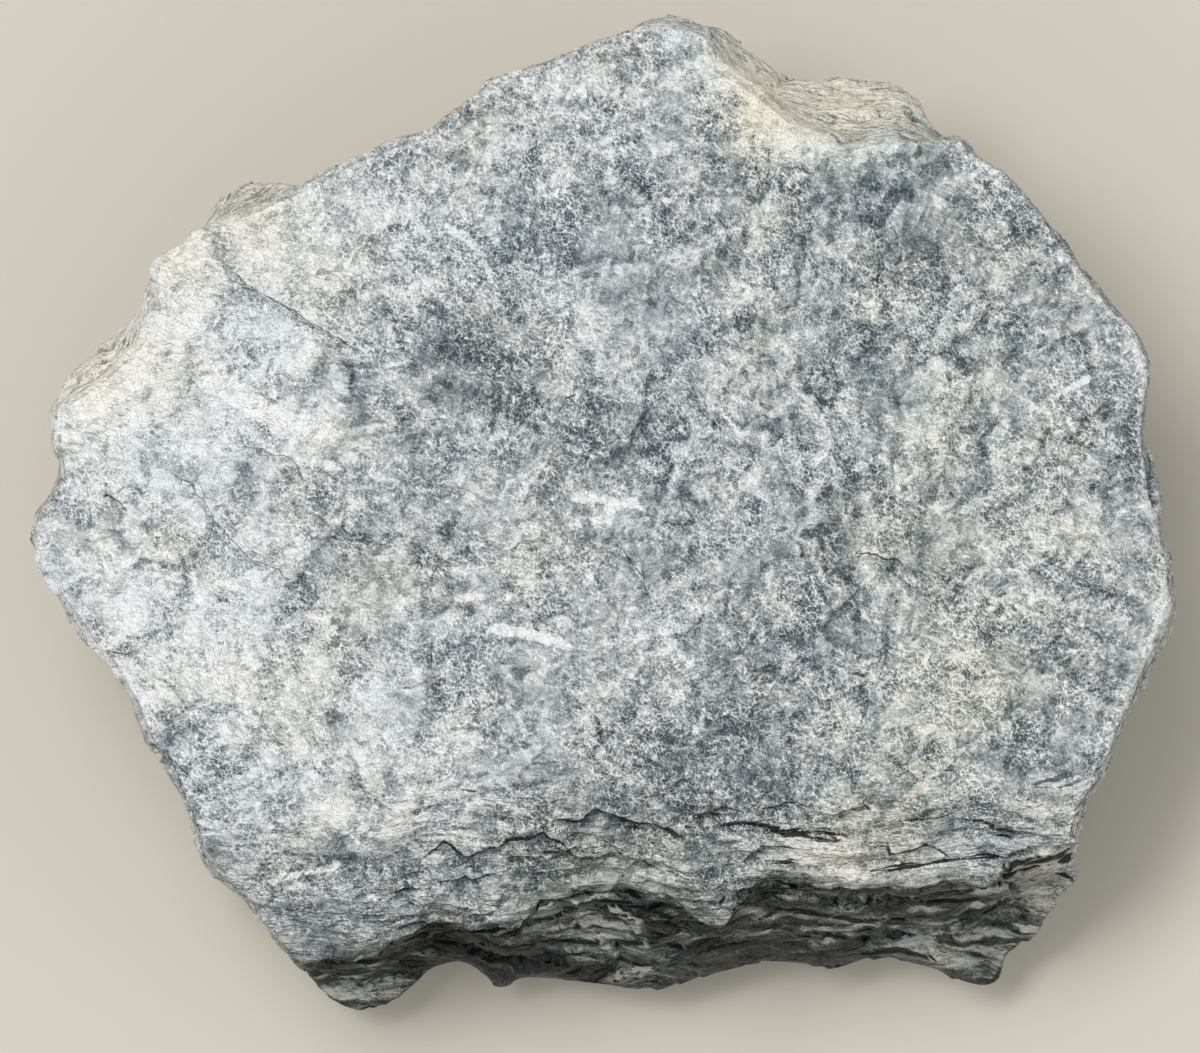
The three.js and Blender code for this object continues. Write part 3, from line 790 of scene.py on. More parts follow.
# White bruises: the line and its half width.
SCUFFS = [
    ([(-3.0, 1.7), (-0.3, 1.5), (1.4, 1.1), (3.5, 1.7)], 0.32),
    ([(-0.3, 0.0), (1.0, 0.6), (2.7, 0.9), (3.9, 0.0)], 0.2),
    ([(-10.0, -9.4), (-6.2, -9.8), (-2.4, -11.3)], 0.38),
    ([(-12.6, -6.9), (-10.0, -6.9)], 0.2),
    ([(-33.2, 12.0), (-30.4, 9.9), (-28.2, 8.6), (-25.7, 7.7), (-21.8, 6.9)], 0.8),
    ([(-23.6, 4.4), (-21.9, 3.9)], 0.3),
    ([(-29.1, -31.2), (-25.7, -30.1), (-23.2, -30.1), (-21.9, -29.1)], 0.16),
    ([(-19.8, -32.2), (-19.1, -32.9)], 0.4),
    ([(37.4, 9.7), (38.7, 10.5), (41.2, 11.5)], 0.2),
    ([(4.8, 26.4), (7.3, 27.8)], 0.2),
    ([(1.4, 13.7), (4.4, 14.7)], 0.18),
    ([(3.1, -11.4), (5.6, -11.6), (7.3, -13.9)], 0.2),
    ([(8.2, 10.0), (10.2, 8.8), (12.0, 6.3)], 0.16),
    ([(-14.8, 25.6), (-11.3, 23.2), (-9.0, 19.8)], 0.16),
    ([(24.6, 2.2), (27.4, 4.4)], 0.16),
    ([(-24.5, -24.0), (-22.0, -25.5), (-20.3, -28.3)], 0.14),
]

# Warm, weathered places: middle, radius, strength.
WARM = [
    ((13.0, 36.5), 5.0, 1.0), ((22.0, 35.0), 5.0, 1.0), ((-44.0, 13.5), 4.0, 1.0),
    ((-36.0, 22.5), 3.0, 0.7), ((-29.5, 27.0), 4.0, 0.5), ((28.0, -16.0), 10.0, 0.3),
    ((31.0, 0.0), 12.0, 0.25), ((29.0, 15.0), 9.0, 0.25), ((5.0, -30.0), 9.0, 0.4),
    ((22.0, -28.0), 8.0, 0.45), ((-6.0, -30.0), 5.0, 0.35), ((38.0, -33.0), 4.0, 0.6),
]

# Pale lobes of the front, and painted shade in its deep hollows: middle, radius, strength
# (negative is darker, the painted shade). Y is trebled, so they are flat.
LOBES_AND_SHADED_HOLLOWS = [
    ((0.6, -104.0), 3.2, 0.5), ((3.0, -111.5), 5.5, 0.7), ((31.5, -115.0), 4.5, 0.7),
    ((35.5, -103.0), 6.0, 0.9), ((-8.6, -112.0), 2.6, 0.8), ((17.0, -104.5), 4.5, 0.7),
    ((-18.0, -120.0), 3.5, 0.4), ((-22.0, -115.5), 4.5, -1.3), ((-13.5, -110.0), 5.0, -1.3),
    ((-12.5, -117.0), 5.0, -1.3), ((-3.5, -119.5), 6.5, -1.0), ((7.5, -119.0), 6.0, -0.9),
    ((17.5, -115.5), 6.0, -1.0), ((25.5, -114.5), 3.5, -0.6),
]


def spots(places, listed):
    """Sum of bells: each falls off with the square of the distance over its radius."""
    total = np.zeros(len(places))
    for middle, radius, strength in listed:
        total += strength * np.exp(-((places - middle) ** 2).sum(axis=1) / radius**2)
    return total


COMB_MIDDLE, COMB_REACH = 20.0, 9.0  # where along X the face is combed, and how far about it

# Bearings, in degrees, between which the front lip begins, and between which it ends.
LIP_STARTS, LIP_ENDS = (231.0, 238.0), (314.0, 324.0)


def dark_shaded_front(points):
    """Share of the dark, leafy break under the front lip, dark partly in its own colour and partly
    with painted shade, as it faces away from the lamps: 1 past the face's edge between the lip's
    two ends, falling to 0 a few millimetres in from the edge."""
    bearings = np.arctan2(points[:, 1], points[:, 0]) % (2 * np.pi)
    turned = np.degrees(bearings)
    inside = reach(EDGE, bearings) - np.hypot(points[:, 0], points[:, 1])
    in_sector = smooth(*LIP_STARTS, turned) * (1.0 - smooth(*LIP_ENDS, turned))
    return in_sector * smooth(3.0, -0.6, inside + 1.2 * noise(points, 4.0, 49))


# ------------------------------------------------------------------ mesh


PATTERN_SHEET = 185.0  # side of the square sheet that the skin is laid out on
BELT_STRIP = (150.0, 44.0)  # length and height of each unrolled half of the belt on it
STRIP_MARGIN = 2.0
SECOND_STRIP = 46.5  # how far the second half lies above the first
FACE_MIDDLE = (51.0, 139.0)
BED_MIDDLE = (132.0, 139.0)


def flat_pattern(points, rectangles, triangles):
    """Corner places on the pattern sheet: face and bed are laid flat, the belt is cut in two
    halves and each is unrolled."""
    length, height = BELT_STRIP
    cells = FACE_CELLS**2
    belt = BELT_ROWS * COLUMNS
    column, row = np.divmod(np.arange(belt), BELT_ROWS)
    u = np.stack([column, column, column + 1, column + 1], axis=1)
    v = np.stack([row, row + 1, row + 1, row], axis=1)
    half = COLUMNS // 2
    second = (column >= half)[:, None]
    u = (u - half * second) * (length / half) + STRIP_MARGIN
    v = (BELT_ROWS - v) * (height / BELT_ROWS) + STRIP_MARGIN + SECOND_STRIP * second
    belt_corners = np.stack([u, v], axis=-1)
    face_corners = points[rectangles[:cells]][:, :, :2] + FACE_MIDDLE
    bed_corners = points[rectangles[cells + belt:]][:, :, :2] * (-1.0, 1.0) + BED_MIDDLE
    foot_corners = points[triangles][:, :, :2] * (-1.0, 1.0) + BED_MIDDLE
    laid = np.concatenate([
        face_corners.reshape(-1, 2), belt_corners.reshape(-1, 2),
        bed_corners.reshape(-1, 2), foot_corners.reshape(-1, 2),
    ])
    return laid / PATTERN_SHEET


def place_object(name, data):
    """A new object in the scene, with its origin at the frame's."""
    holder = bpy.data.objects.new(name, data)
    bpy.context.scene.collection.objects.link(holder)
    return holder


def make_mesh(name, points, rectangles, triangles):
    """A Blender object at the origin from point and face arrays, smooth shaded, in metres."""
    mesh = bpy.data.meshes.new(name)
    corners = np.concatenate([rectangles.ravel(), triangles.ravel()]).astype(np.int32)
    sizes = np.concatenate([np.full(len(rectangles), 4), np.full(len(triangles), 3)])
    starts = np.concatenate([[0], np.cumsum(sizes)[:-1]]).astype(np.int32)
    mesh.vertices.add(len(points))
    mesh.vertices.foreach_set("co", (points * METRES).astype(np.float32).ravel())
    mesh.loops.add(len(corners))
    mesh.loops.foreach_set("vertex_index", corners)
    mesh.polygons.add(len(sizes))
    mesh.polygons.foreach_set("loop_start", starts)
    mesh.polygons.foreach_set("use_smooth", np.ones(len(sizes), bool))
    mesh.update(calc_edges=True)
    mesh.validate()
    return place_object(name, mesh)


def give(piece, name, values):
    """Stores one number per point under a name that the material reads."""
    held = piece.data.attributes.new(name, "FLOAT", "POINT")
    held.data.foreach_set("value", np.asarray(values, np.float32))


def give_places(piece, name, places):
    """Stores one place per point under a name that the material reads."""
    held = piece.data.attributes.new(name, "FLOAT_VECTOR", "POINT")
    held.data.foreach_set("vector", np.asarray(places, np.float32).ravel())


def shape_stone():
    """Works out the plain body, then chips, cuts, breaks and roughens it. Returns its points,
    faces and outward directions, and what the marks need: the plain body's points, the distance
    below the outline, the leaves' level, each kind of ground's share, and the shifts that lines
    and spots are looked up through."""
    points, rectangles, triangles, below, from_edge = stone_grids()
    on_bed = below == ON_BED
    points = strike_off(points, below)
    points[:, 2] = np.maximum(points[:, 2], 0.0)
    bed_height = points[on_bed, 2]
    plain = points.copy()
    normals = outward(points, rectangles, triangles)
    slope = 1.0 - np.abs(normals[:, 2])
    steep = smooth(0.08, 0.5, slope) * (below > ON_FACE)
    front = dark_shaded_front(points)
    level = fold_level(points, front)
    above_outline = smooth(1.5, -0.5, below)
    tier = smooth(-17.5, -27.0, plain[:, 1] + 3.5 * noise(plain, 9.0, 45)) * (below < 0.0)
    tier *= mix(0.25, 1.0, smooth(-24.0, -13.0, plain[:, 0]))
    calm = front * np.exp(-((below / 1.5) ** 2))

    shift = wander(points, 0.5, 3.2, (71, 75), 3, 0.6)
    cut_ledges(points, below == ON_FACE, shift)
    points = open_gaps(points, normals, above_outline, shift)
    points, crease_shade = break_sides(points, normals, below, from_edge, level, steep, front)
    points = roughen(points, normals, steep, level, tier, calm)
    points[:, 2] = np.maximum(points[:, 2], 0.0)
    points[on_bed, 2] = bed_height
    ground = {
        "plain": plain, "below": below, "level": level, "slope": slope, "front": front,
        "tier": tier, "crease_shade": crease_shade, "above_outline": above_outline, "shift": shift,
        "drift": wander(plain, 2.5, 7.0, (81, 85)),
    }
    return points, rectangles, triangles, outward(points, rectangles, triangles), ground


def mark_ground(piece, points, normals, ground):
    """Marks what kind of ground each point is on, and the places that the patterns follow."""
    plain, below, front = ground["plain"], ground["below"], ground["front"]
    give_places(piece, "stirred", plain + wander(plain, 1.1, 2.3, (111, 113, 115)))
    give(piece, "level", ground["level"])
    give(piece, "flaky", np.maximum(smooth(0.03, 0.3, ground["slope"]), 0.8 * ground["tier"]))
    give(piece, "tier", ground["tier"])
    give(piece, "front", front * smooth(0.0, 9.0, plain[:, 2]))
    # how far each point faces up, for the front's painted light
    give(piece, "painted_top_light_facing", normals[:, 2])
    # painted shade in the creases between the front's leaves
    give(piece, "crease_shade", ground["crease_shade"] * smooth(6.0, 30.0, plain[:, 2]))
    give(piece, "gap", gap_shade(points, normals, ground["above_outline"], ground["shift"]))

    down = below + 1.5 * noise(plain, 5.0, 87)
    warm = spots(plain[:, :2] + ground["drift"], WARM)
    warm *= smooth(8.0, -2.0, down + 4.0 * noise(plain, 8.0, 89))
    faded = np.minimum(warm, 1.0)
    give(piece, "warm", warm)
    give(piece, "side", smooth(-0.6 - 4.0 * faded, 2.4 + 6.0 * faded, down))

    lobes_and_shaded_hollows = spots(plain[:, :2] * (1.0, 3.0) + 0.5 * ground["drift"], LOBES_AND_SHADED_HOLLOWS)
    low_right = smooth(30.0, 10.0, plain[:, 2]) * smooth(14.0, 28.0, plain[:, 0])
    # painted shade where the front turns under at its outline
    painted_underside_shade = np.exp(-((below / 2.2) ** 2)) * smooth(26.0, 16.0, plain[:, 0])
    painted_underside_shade *= smooth(-21.0, -15.0, plain[:, 0])
    give(piece, "lobe_tone_and_shade", 0.6 * lobes_and_shaded_hollows + 0.4 * low_right - 0.9 * painted_underside_shade)


def mark_face(piece, ground):
    """Marks the split face's tones, cracks, bruises and combed streaks."""
    plain, shift = ground["plain"], ground["shift"]
    face_only = smooth(2.0, 0.0, ground["below"])
    give(piece, "tone", spots(plain[:, :2] + ground["drift"], TONES) * face_only)
    give(piece, "hue", layered(plain, 9.0, 117, 3, 0.6))
    give(piece, "felt", 1.0 + 0.5 * np.clip(1.6 * layered(plain, 5.0, 121, 3, 0.7), -1.0, 1.0))

    open_ledges = [(line, openness) for line, _, _, openness in LEDGES if openness > 0.0]
    # where the ledges' open cracks are, for their painted shade
    crack_gap, crack = nearest_line(plain[:, :2] + shift, open_ledges)
    give(piece, "crack_gap", crack_gap)
    give(piece, "crack", crack * face_only)
    scuff_gap, scuff = nearest_line(plain[:, :2] + 0.4 * shift, SCUFFS)
    give(piece, "scuff_gap", np.abs(scuff_gap))
    give(piece, "scuff", scuff * face_only)
    combed = np.exp(-(((plain[:, 0] - COMB_MIDDLE) / COMB_REACH) ** 2))
    give(piece, "combed", combed * smooth(-28.0, -15.0, plain[:, 1]))


RIDGE_ROUNDS, BROAD_ROUNDS = 3, 24  # how many rounds of neighbours fine and broad ridges take in


def make_soapstone():
    """The whole stone: its skin, its pattern sheet and the marks that the material reads."""
    points, rectangles, triangles, normals, ground = shape_stone()
    piece = make_mesh("split_soapstone", points, rectangles, triangles)
    sheet = piece.data.uv_layers.new(name="OFBake")
    laid = flat_pattern(ground["plain"], rectangles, triangles)
    sheet.data.foreach_set("uv", laid.astype(np.float32).ravel())
    mark_ground(piece, points, normals, ground)
    mark_face(piece, ground)
    give(piece, "ridge", convexity(points, normals, rectangles, RIDGE_ROUNDS))
    give(piece, "broad", convexity(points, normals, rectangles, BROAD_ROUNDS))
    return piece


# ------------------------------------------------------------------ materials


# Where the mix node keeps its sockets for colours.
MIX_SHARE, MIX_A, MIX_B, MIX_COLOUR = 0, 6, 7, 2


class Nodes:
    """A small helper to lay out a material's nodes and join them."""

    def __init__(self, name):
        self.material = bpy.data.materials.new(name)
        self.material.use_nodes = True
        self.tree = self.material.node_tree
        self.tree.nodes.clear()

    def add(self, kind, **settings):
        """A new node with some of its settings."""
        node = self.tree.nodes.new(kind)
        for key, value in settings.items():
            setattr(node, key, value)
        return node

    def join(self, source, target):
        """Joins an output to an input."""
        self.tree.links.new(source, target)

    def feed(self, socket, value):
        """Joins an output to a socket, or sets a plain value on it."""
        if hasattr(value, "links"):
            self.join(value, socket)
        else:
            socket.default_value = value

    def math(self, operation, a, b=0.0, c=0.0, clamp=False):
        """One sum on numbers or outputs: MULTIPLY_ADD is a times b plus c."""
        node = self.add("ShaderNodeMath", operation=operation, use_clamp=clamp)
        for socket, value in zip(node.inputs, (a, b, c)):
            self.feed(socket, value)
        return node.outputs[0]

    def centred(self, value, strength, start):
        """start + strength times how far a value is from 0.5."""
        return self.math("MULTIPLY_ADD", self.math("SUBTRACT", value, 0.5), strength, start)

    def step(self, value, low, high, to_low=0.0, to_high=1.0):
        """Goes smoothly from to_low, at low and below, to to_high, at high and above."""
        node = self.add("ShaderNodeMapRange", interpolation_type="SMOOTHSTEP")
        ends = {"From Min": low, "From Max": high, "To Min": to_low, "To Max": to_high}
        for key, number in {"Value": value, **ends}.items():
            self.feed(node.inputs[key], number)
        return node.outputs["Result"]

    def attribute(self, name):
        """One of the numbers that give() stored on the mesh."""
        return self.add("ShaderNodeAttribute", attribute_name=name).outputs["Fac"]

    def noise(self, vector, scale, detail=2.0, roughness=0.5):
        """Noise from 0 to 1, with about scale swells to each unit of the vector."""
        node = self.add("ShaderNodeTexNoise")
        self.join(vector, node.inputs["Vector"])
        node.inputs["Scale"].default_value = scale
        node.inputs["Detail"].default_value = detail
        node.inputs["Roughness"].default_value = roughness
        return node.outputs["Fac"]

    def vector(self, operation, a, b, output="Vector"):
        """One sum on vectors."""
        node = self.add("ShaderNodeVectorMath", operation=operation)
        self.feed(node.inputs[0], a)
        self.feed(node.inputs[1], b)
        return node.outputs[output]

    def split(self, vector):
        """The three numbers of a vector."""
        node = self.add("ShaderNodeSeparateXYZ")
        self.join(vector, node.inputs[0])
        return node.outputs[0], node.outputs[1], node.outputs[2]

    def placed(self, vector, scale=(1, 1, 1), rotation=(0, 0, 0), kind="POINT"):
        """A place scaled and turned by degrees, or with kind TEXTURE the pattern turned and scaled
        instead of the place."""
        node = self.add("ShaderNodeMapping", vector_type=kind)
        self.feed(node.inputs["Vector"], vector)
        node.inputs["Scale"].default_value = scale
        node.inputs["Rotation"].default_value = [math.radians(r) for r in rotation]
        return node.outputs["Vector"]

    def blend(self, share, a, b, kind="MIX"):
        """Colour a at share 0 and b, or with kind MULTIPLY a times b, at share 1."""
        node = self.add("ShaderNodeMix", data_type="RGBA", blend_type=kind)
        self.feed(node.inputs[MIX_SHARE], share)
        self.feed(node.inputs[MIX_A], a)
        self.feed(node.inputs[MIX_B], b)
        return node.outputs[MIX_COLOUR]

    def ramp(self, value, stops):
        """A colour for a value, from stops that are each a place and a screen colour."""
        node = self.add("ShaderNodeValToRGB")
        self.feed(node.inputs["Fac"], value)
        elements = node.color_ramp.elements
        while len(elements) < len(stops):
            elements.new(0.5)
        for element, (place, colour) in zip(elements, stops):
            element.position = place
            element.color = tint(*colour)
        return node.outputs["Color"]

    def surface(self, values):
        """The shader, with a value or an output for each named input, as the material's surface."""
        shader = self.add("ShaderNodeBsdfPrincipled")
        for name, value in values.items():
            self.feed(shader.inputs[name], value)
        output = self.add("ShaderNodeOutputMaterial")
        self.join(shader.outputs[0], output.inputs["Surface"])
        return self.material

    def bump(self, height):
        """A bump from a height in millimetres."""
        node = self.add("ShaderNodeBump")
        self.join(height, node.inputs["Height"])
        node.inputs["Distance"].default_value = METRES
        return node.outputs["Normal"]


# Colours on screen, from 0 to 255, each at its place on the ramp from dark to pale.
FACE_TINTS = [
    (0.0, (64, 74, 80)), (0.2, (105, 116, 121)), (0.4, (155, 163, 165)),
    (0.6, (204, 208, 206)), (0.8, (247, 248, 246)), (1.0, (255, 255, 253)),
]
SIDE_TINTS = [
    (0.0, (60, 66, 63)), (0.25, (104, 111, 106)), (0.5, (150, 156, 149)),
    (0.75, (196, 199, 190)), (1.0, (232, 232, 224)),
]
# The front's ramp, dark partly in the rock's own colour and partly as painted shade.
FRONT_TINTS = [
    (0.1, (14, 19, 20)), (0.35, (52, 60, 58)), (0.6, (106, 114, 109)),
    (0.85, (162, 166, 158)), (1.0, (205, 206, 198)),
]
FLOOR_TINTS = [(0.3, (208, 202, 188)), (0.7, (213, 207, 193))]

# Colours that the face is multiplied by, and the colour of deep shade in a crack.
WARM_TINT = (255, 250, 232)
COLD_TINT = (236, 247, 255)
CREAM_TINT = (255, 248, 229)
CRACK_TINT = (11, 15, 17)

RAMP_SHARE = 0.8  # how far along the face's and the sides' ramps a value of 1 is


def tint(red, green, blue):
    """A screen colour from 0 to 255 as linear light, by the 2.4 power and its straight toe."""
    scaled = np.array([red, green, blue]) / 255.0
    linear = np.where(scaled > 0.04045, ((scaled + 0.055) / 1.055) ** 2.4, scaled / 12.92)
    return (*linear.tolist(), 1.0)


# Bright crests of the felt: scale, detail, turn in degrees, stretch along it, strength.
CRESTS = [(1.5, 1.0, -28, 1.8, 0.3), (3.2, 0.0, -55, 1.3, 0.5)]
CREST_SHARPNESS = 7.0
CREST_MEAN = 0.31  # taken off, so that the crests don't pale the rock as a whole

# Noises along the leaves: run along a leaf, thickness of a leaf, and how far along X it begins.
LEAF_NOISES = [(2.6, 0.42, 3.0), (6.5, 1.1, 40.0), (11.0, 2.8, 80.0)]

COMB_SCALE, COMB_TURN = (1.0, 0.13, 0.3), (0, 0, 4)  # combed streaks run all but along Y
FLAKE_SCALE, FLAKE_TILT = 1.3, 1.1


def crests(n, place, scale, detail, turn, stretch):
    """Thin bright crests: 1 where a noise passes through its middle value, falling on both sides
    as a square. They are drawn out along the turned X axis."""
    drawn = n.placed(place, scale=(stretch, 1, 1), rotation=(0, 0, turn), kind="TEXTURE")
    value = n.noise(drawn, scale, detail, 0.5)
    away = n.math("ABSOLUTE", n.math("SUBTRACT", value, 0.5))
    away = n.math("MINIMUM", n.math("MULTIPLY", away, CREST_SHARPNESS), 1.0)
    line = n.math("SUBTRACT", 1.0, away)
    return n.math("MULTIPLY", line, line)


def facets(n, place, scale, tilt):
    """Small tilted flakes: each cell has its own slope, and the height is that slope times the way
    from the cell's middle. Also returns how much the flake faces the back left, where the lamps
    are, which the colour takes as painted light."""
    cell = n.add("ShaderNodeTexVoronoi", feature="F1")
    n.join(place, cell.inputs["Vector"])
    cell.inputs["Scale"].default_value = scale
    away = n.vector("SUBTRACT", place, cell.outputs["Position"])
    slope = n.vector("SUBTRACT", cell.outputs["Color"], (0.5, 0.5, 0.5))
    rise = n.vector("DOT_PRODUCT", away, slope, "Value")
    x, y, _ = n.split(slope)
    facing = n.math("MULTIPLY_ADD", x, 0.5, n.math("MULTIPLY", y, -1.0))
    return n.math("MULTIPLY", rise, tilt), facing


def leaf_noise(n, place, level, run, thickness, start):
    """Noise stretched along the rock's leaves: its place is X and Y over the run along a leaf, and
    the leaves' level over their thickness."""
    x, y, _ = n.split(place)
    joined = n.add("ShaderNodeCombineXYZ")
    n.join(n.math("MULTIPLY_ADD", x, 1.0 / run, start), joined.inputs[0])
    n.join(n.math("MULTIPLY", y, 1.0 / run), joined.inputs[1])
    n.join(n.math("MULTIPLY", level, 1.0 / thickness), joined.inputs[2])
    return n.noise(joined.outputs[0], 1.0, 2.0, 0.55)


def outlines(n, value, width):
    """Thin lines where a noise passes through its middle value, 1 in the line and 0 beside it."""
    away = n.math("ABSOLUTE", n.math("SUBTRACT", value, 0.5))
    return n.step(away, 0.0, width, 1.0, 0.0)


def felted_rock(n, place, stirred, base, speckle):
    """The fresh rock: cloudy talc with fine specks, bright crests, small tilted flakes that are
    painted paler where they face the lamps, as painted light, and paler ridges with painted shade
    in fine creases. Returns its value, its height in millimetres and the finest crests."""
    grain = n.centred(speckle, 0.75, 0.0)
    height = n.math("MULTIPLY", base, 0.7)
    for scale, detail, turn, stretch, strength in CRESTS:
        fleck = crests(n, place, scale, detail, turn, stretch)
        grain = n.math("MULTIPLY_ADD", n.math("SUBTRACT", fleck, CREST_MEAN), strength, grain)
        height = n.math("MULTIPLY_ADD", fleck, 0.16 / scale, height)
    value = n.math("MULTIPLY_ADD", grain, n.attribute("felt"), n.centred(base, 1.7, 0.65))
    rise, facing = facets(n, stirred, FLAKE_SCALE, FLAKE_TILT)
    # painted light: flakes that face the back left, towards the lamps, are paler
    value = n.math("MULTIPLY_ADD", facing, 0.24, value)
    # paler on fine ridges, like powder, and painted shade in fine creases
    ridge = n.math("MAXIMUM", n.math("MINIMUM", n.attribute("ridge"), 0.08), -0.1)
    value = n.math("MULTIPLY_ADD", ridge, 2.2, value)
    return value, n.math("ADD", rise, height), fleck


def bruises(n, base, speckle, fleck):
    """White bruises: 1 inside a bruise's ragged outline, patchy with the finest crests."""
    width = n.attribute("scuff")
    gap = n.centred(speckle, 0.6, n.centred(base, 1.8, n.attribute("scuff_gap")))
    bruise = n.step(n.math("SUBTRACT", gap, width), -0.1, 0.12, 1.0, 0.0)
    bruise = n.math("MULTIPLY", bruise, n.step(width, 0.02, 0.1))
    return n.math("MULTIPLY", bruise, n.math("MULTIPLY_ADD", fleck, 0.6, 0.85))


def face_colour(n, rock_value, stirred, bruise):
    """The split face: blue-grey to white, combed and toned, with slow warm and cold places."""
    combed = n.noise(n.placed(stirred, COMB_SCALE, COMB_TURN), 0.9, 1.0, 0.6)
    combed = n.math("MULTIPLY", n.attribute("combed"), n.math("SUBTRACT", combed, 0.5))
    warm = n.attribute("warm")
    value = n.math("MULTIPLY_ADD", combed, 0.7, rock_value)
    value = n.math("MULTIPLY_ADD", n.attribute("tone"), 0.18, value)
    value = n.math("MULTIPLY_ADD", warm, 0.28, value)
    value = n.math("ADD", bruise, value)
    colour = n.ramp(n.math("MULTIPLY", value, RAMP_SHARE), FACE_TINTS)
    hue = n.attribute("hue")
    cream = n.math("MULTIPLY", warm, 0.9, clamp=True)
    colour = n.blend(n.step(hue, -0.1, 0.8, 0.0, 0.3), colour, tint(*WARM_TINT), "MULTIPLY")
    colour = n.blend(n.step(hue, -0.8, 0.1, 0.4, 0.0), colour, tint(*COLD_TINT), "MULTIPLY")
    return n.blend(cream, colour, tint(*CREAM_TINT), "MULTIPLY")


def side_colour(n, rock_value, fine, coarse):
    """The broken sides: greener and a little darker, streaked along the leaves, paler on broad
    swells and with painted shade in broad hollows.
    """
    value = n.math("MULTIPLY_ADD", rock_value, 0.5, 0.26)
    value = n.centred(coarse, 1.2, n.centred(fine, 1.5, value))
    # paler on broad swells, and painted shade in broad hollows
    value = n.math("MULTIPLY_ADD", n.attribute("broad"), 0.15, value)
    return n.ramp(n.math("MULTIPLY", value, RAMP_SHARE), SIDE_TINTS)


def front_colour(n, rock_value, fine, coarse, thick):
    """The dark leafy front: pale and dark leaves side by side, painted light where the ground faces
    up towards the lamps, the lobes with painted shade in the hollows, and painted fill light, a
    little paler again, where it is all but upright."""
    painted_top_light_facing = n.attribute("painted_top_light_facing")
    leaf_tone = n.step(n.centred(coarse, 0.5, thick), 0.38, 0.6)
    # painted light: leaf contrast and paleness grow where the ground faces up towards the lamps
    spread = n.step(painted_top_light_facing, 0.05, 0.4, 0.35, 0.85)
    painted_top_light = n.math("SUBTRACT", n.math("MAXIMUM", painted_top_light_facing, 0.15), 0.45)
    value = n.math("MULTIPLY", rock_value, 0.4)
    value = n.centred(fine, 0.7, n.centred(coarse, 1.2, value))
    value = n.math("MULTIPLY_ADD", n.math("SUBTRACT", leaf_tone, 0.5), spread, value)
    # the pale lobes, and painted shade in the hollows and where the front turns under
    value = n.math("MULTIPLY_ADD", n.attribute("lobe_tone_and_shade"), 0.35, value)
    value = n.math("ADD", painted_top_light, value)
    # painted fill light: upright ground, which the lamps miss, is a little paler
    value = n.math("ADD", value, n.step(painted_top_light_facing, -0.1, 0.24, 0.22, 0.0))
    return n.ramp(value, FRONT_TINTS)


def leaf_cracks(n, base, fine, coarse, front):
    """Thin lines of painted shade along the leaves of steep ground, here and there, wider on the
    front.
    """
    thin_line = outlines(n, fine, n.math("MULTIPLY_ADD", front, 0.02, 0.03))
    thick_line = outlines(n, coarse, n.math("MULTIPLY_ADD", front, 0.03, 0.02))
    sparse = n.math("MULTIPLY", n.step(base, 0.44, 0.58), n.attribute("flaky"))
    return n.math("MULTIPLY", n.math("MAXIMUM", thin_line, thick_line), sparse)


def ledge_cracks(n, speckle):
    """Painted shade in the ragged open cracks at the feet of the ledges."""
    crack = n.attribute("crack")
    ragged = n.math("ABSOLUTE", n.centred(speckle, 0.4, n.attribute("crack_gap")))
    past = n.math("SUBTRACT", ragged, n.math("MULTIPLY", crack, 0.14))
    return n.math("MULTIPLY", n.step(past, -0.08, 0.1, 1.0, 0.0), n.step(crack, 0.05, 0.3))


def tier_lenses(n, speckle, fine, coarse, thick):
    """Short lenses of painted shade between the leaves, where the face bends down to its front lip.
    """
    lens = n.centred(speckle, 0.12, n.centred(thick, 0.7, coarse))
    lens = n.math("MULTIPLY", n.step(lens, 0.31, 0.36, 1.0, 0.0), n.step(fine, 0.34, 0.48))
    return n.math("MULTIPLY", lens, n.attribute("tier"))


def painted_shade_places(n, base, speckle, fine, coarse, thick, front):
    """Painted shade in every crack, crease, lens and gap, from 0 to 1."""
    # painted shade in the creases between the front's leaves
    crease_shade = n.step(n.centred(coarse, 0.8, n.attribute("crease_shade")), 0.45, 0.9)
    gap = n.centred(fine, 0.5, n.centred(coarse, 0.9, n.attribute("gap")))
    painted_crack_shade = n.math("MAXIMUM", leaf_cracks(n, base, fine, coarse, front), ledge_cracks(n, speckle))
    painted_crack_shade = n.math("MAXIMUM", painted_crack_shade, n.math("MAXIMUM", crease_shade, n.step(gap, 0.42, 0.8)))
    return n.math("MAXIMUM", painted_crack_shade, tier_lenses(n, speckle, fine, coarse, thick))


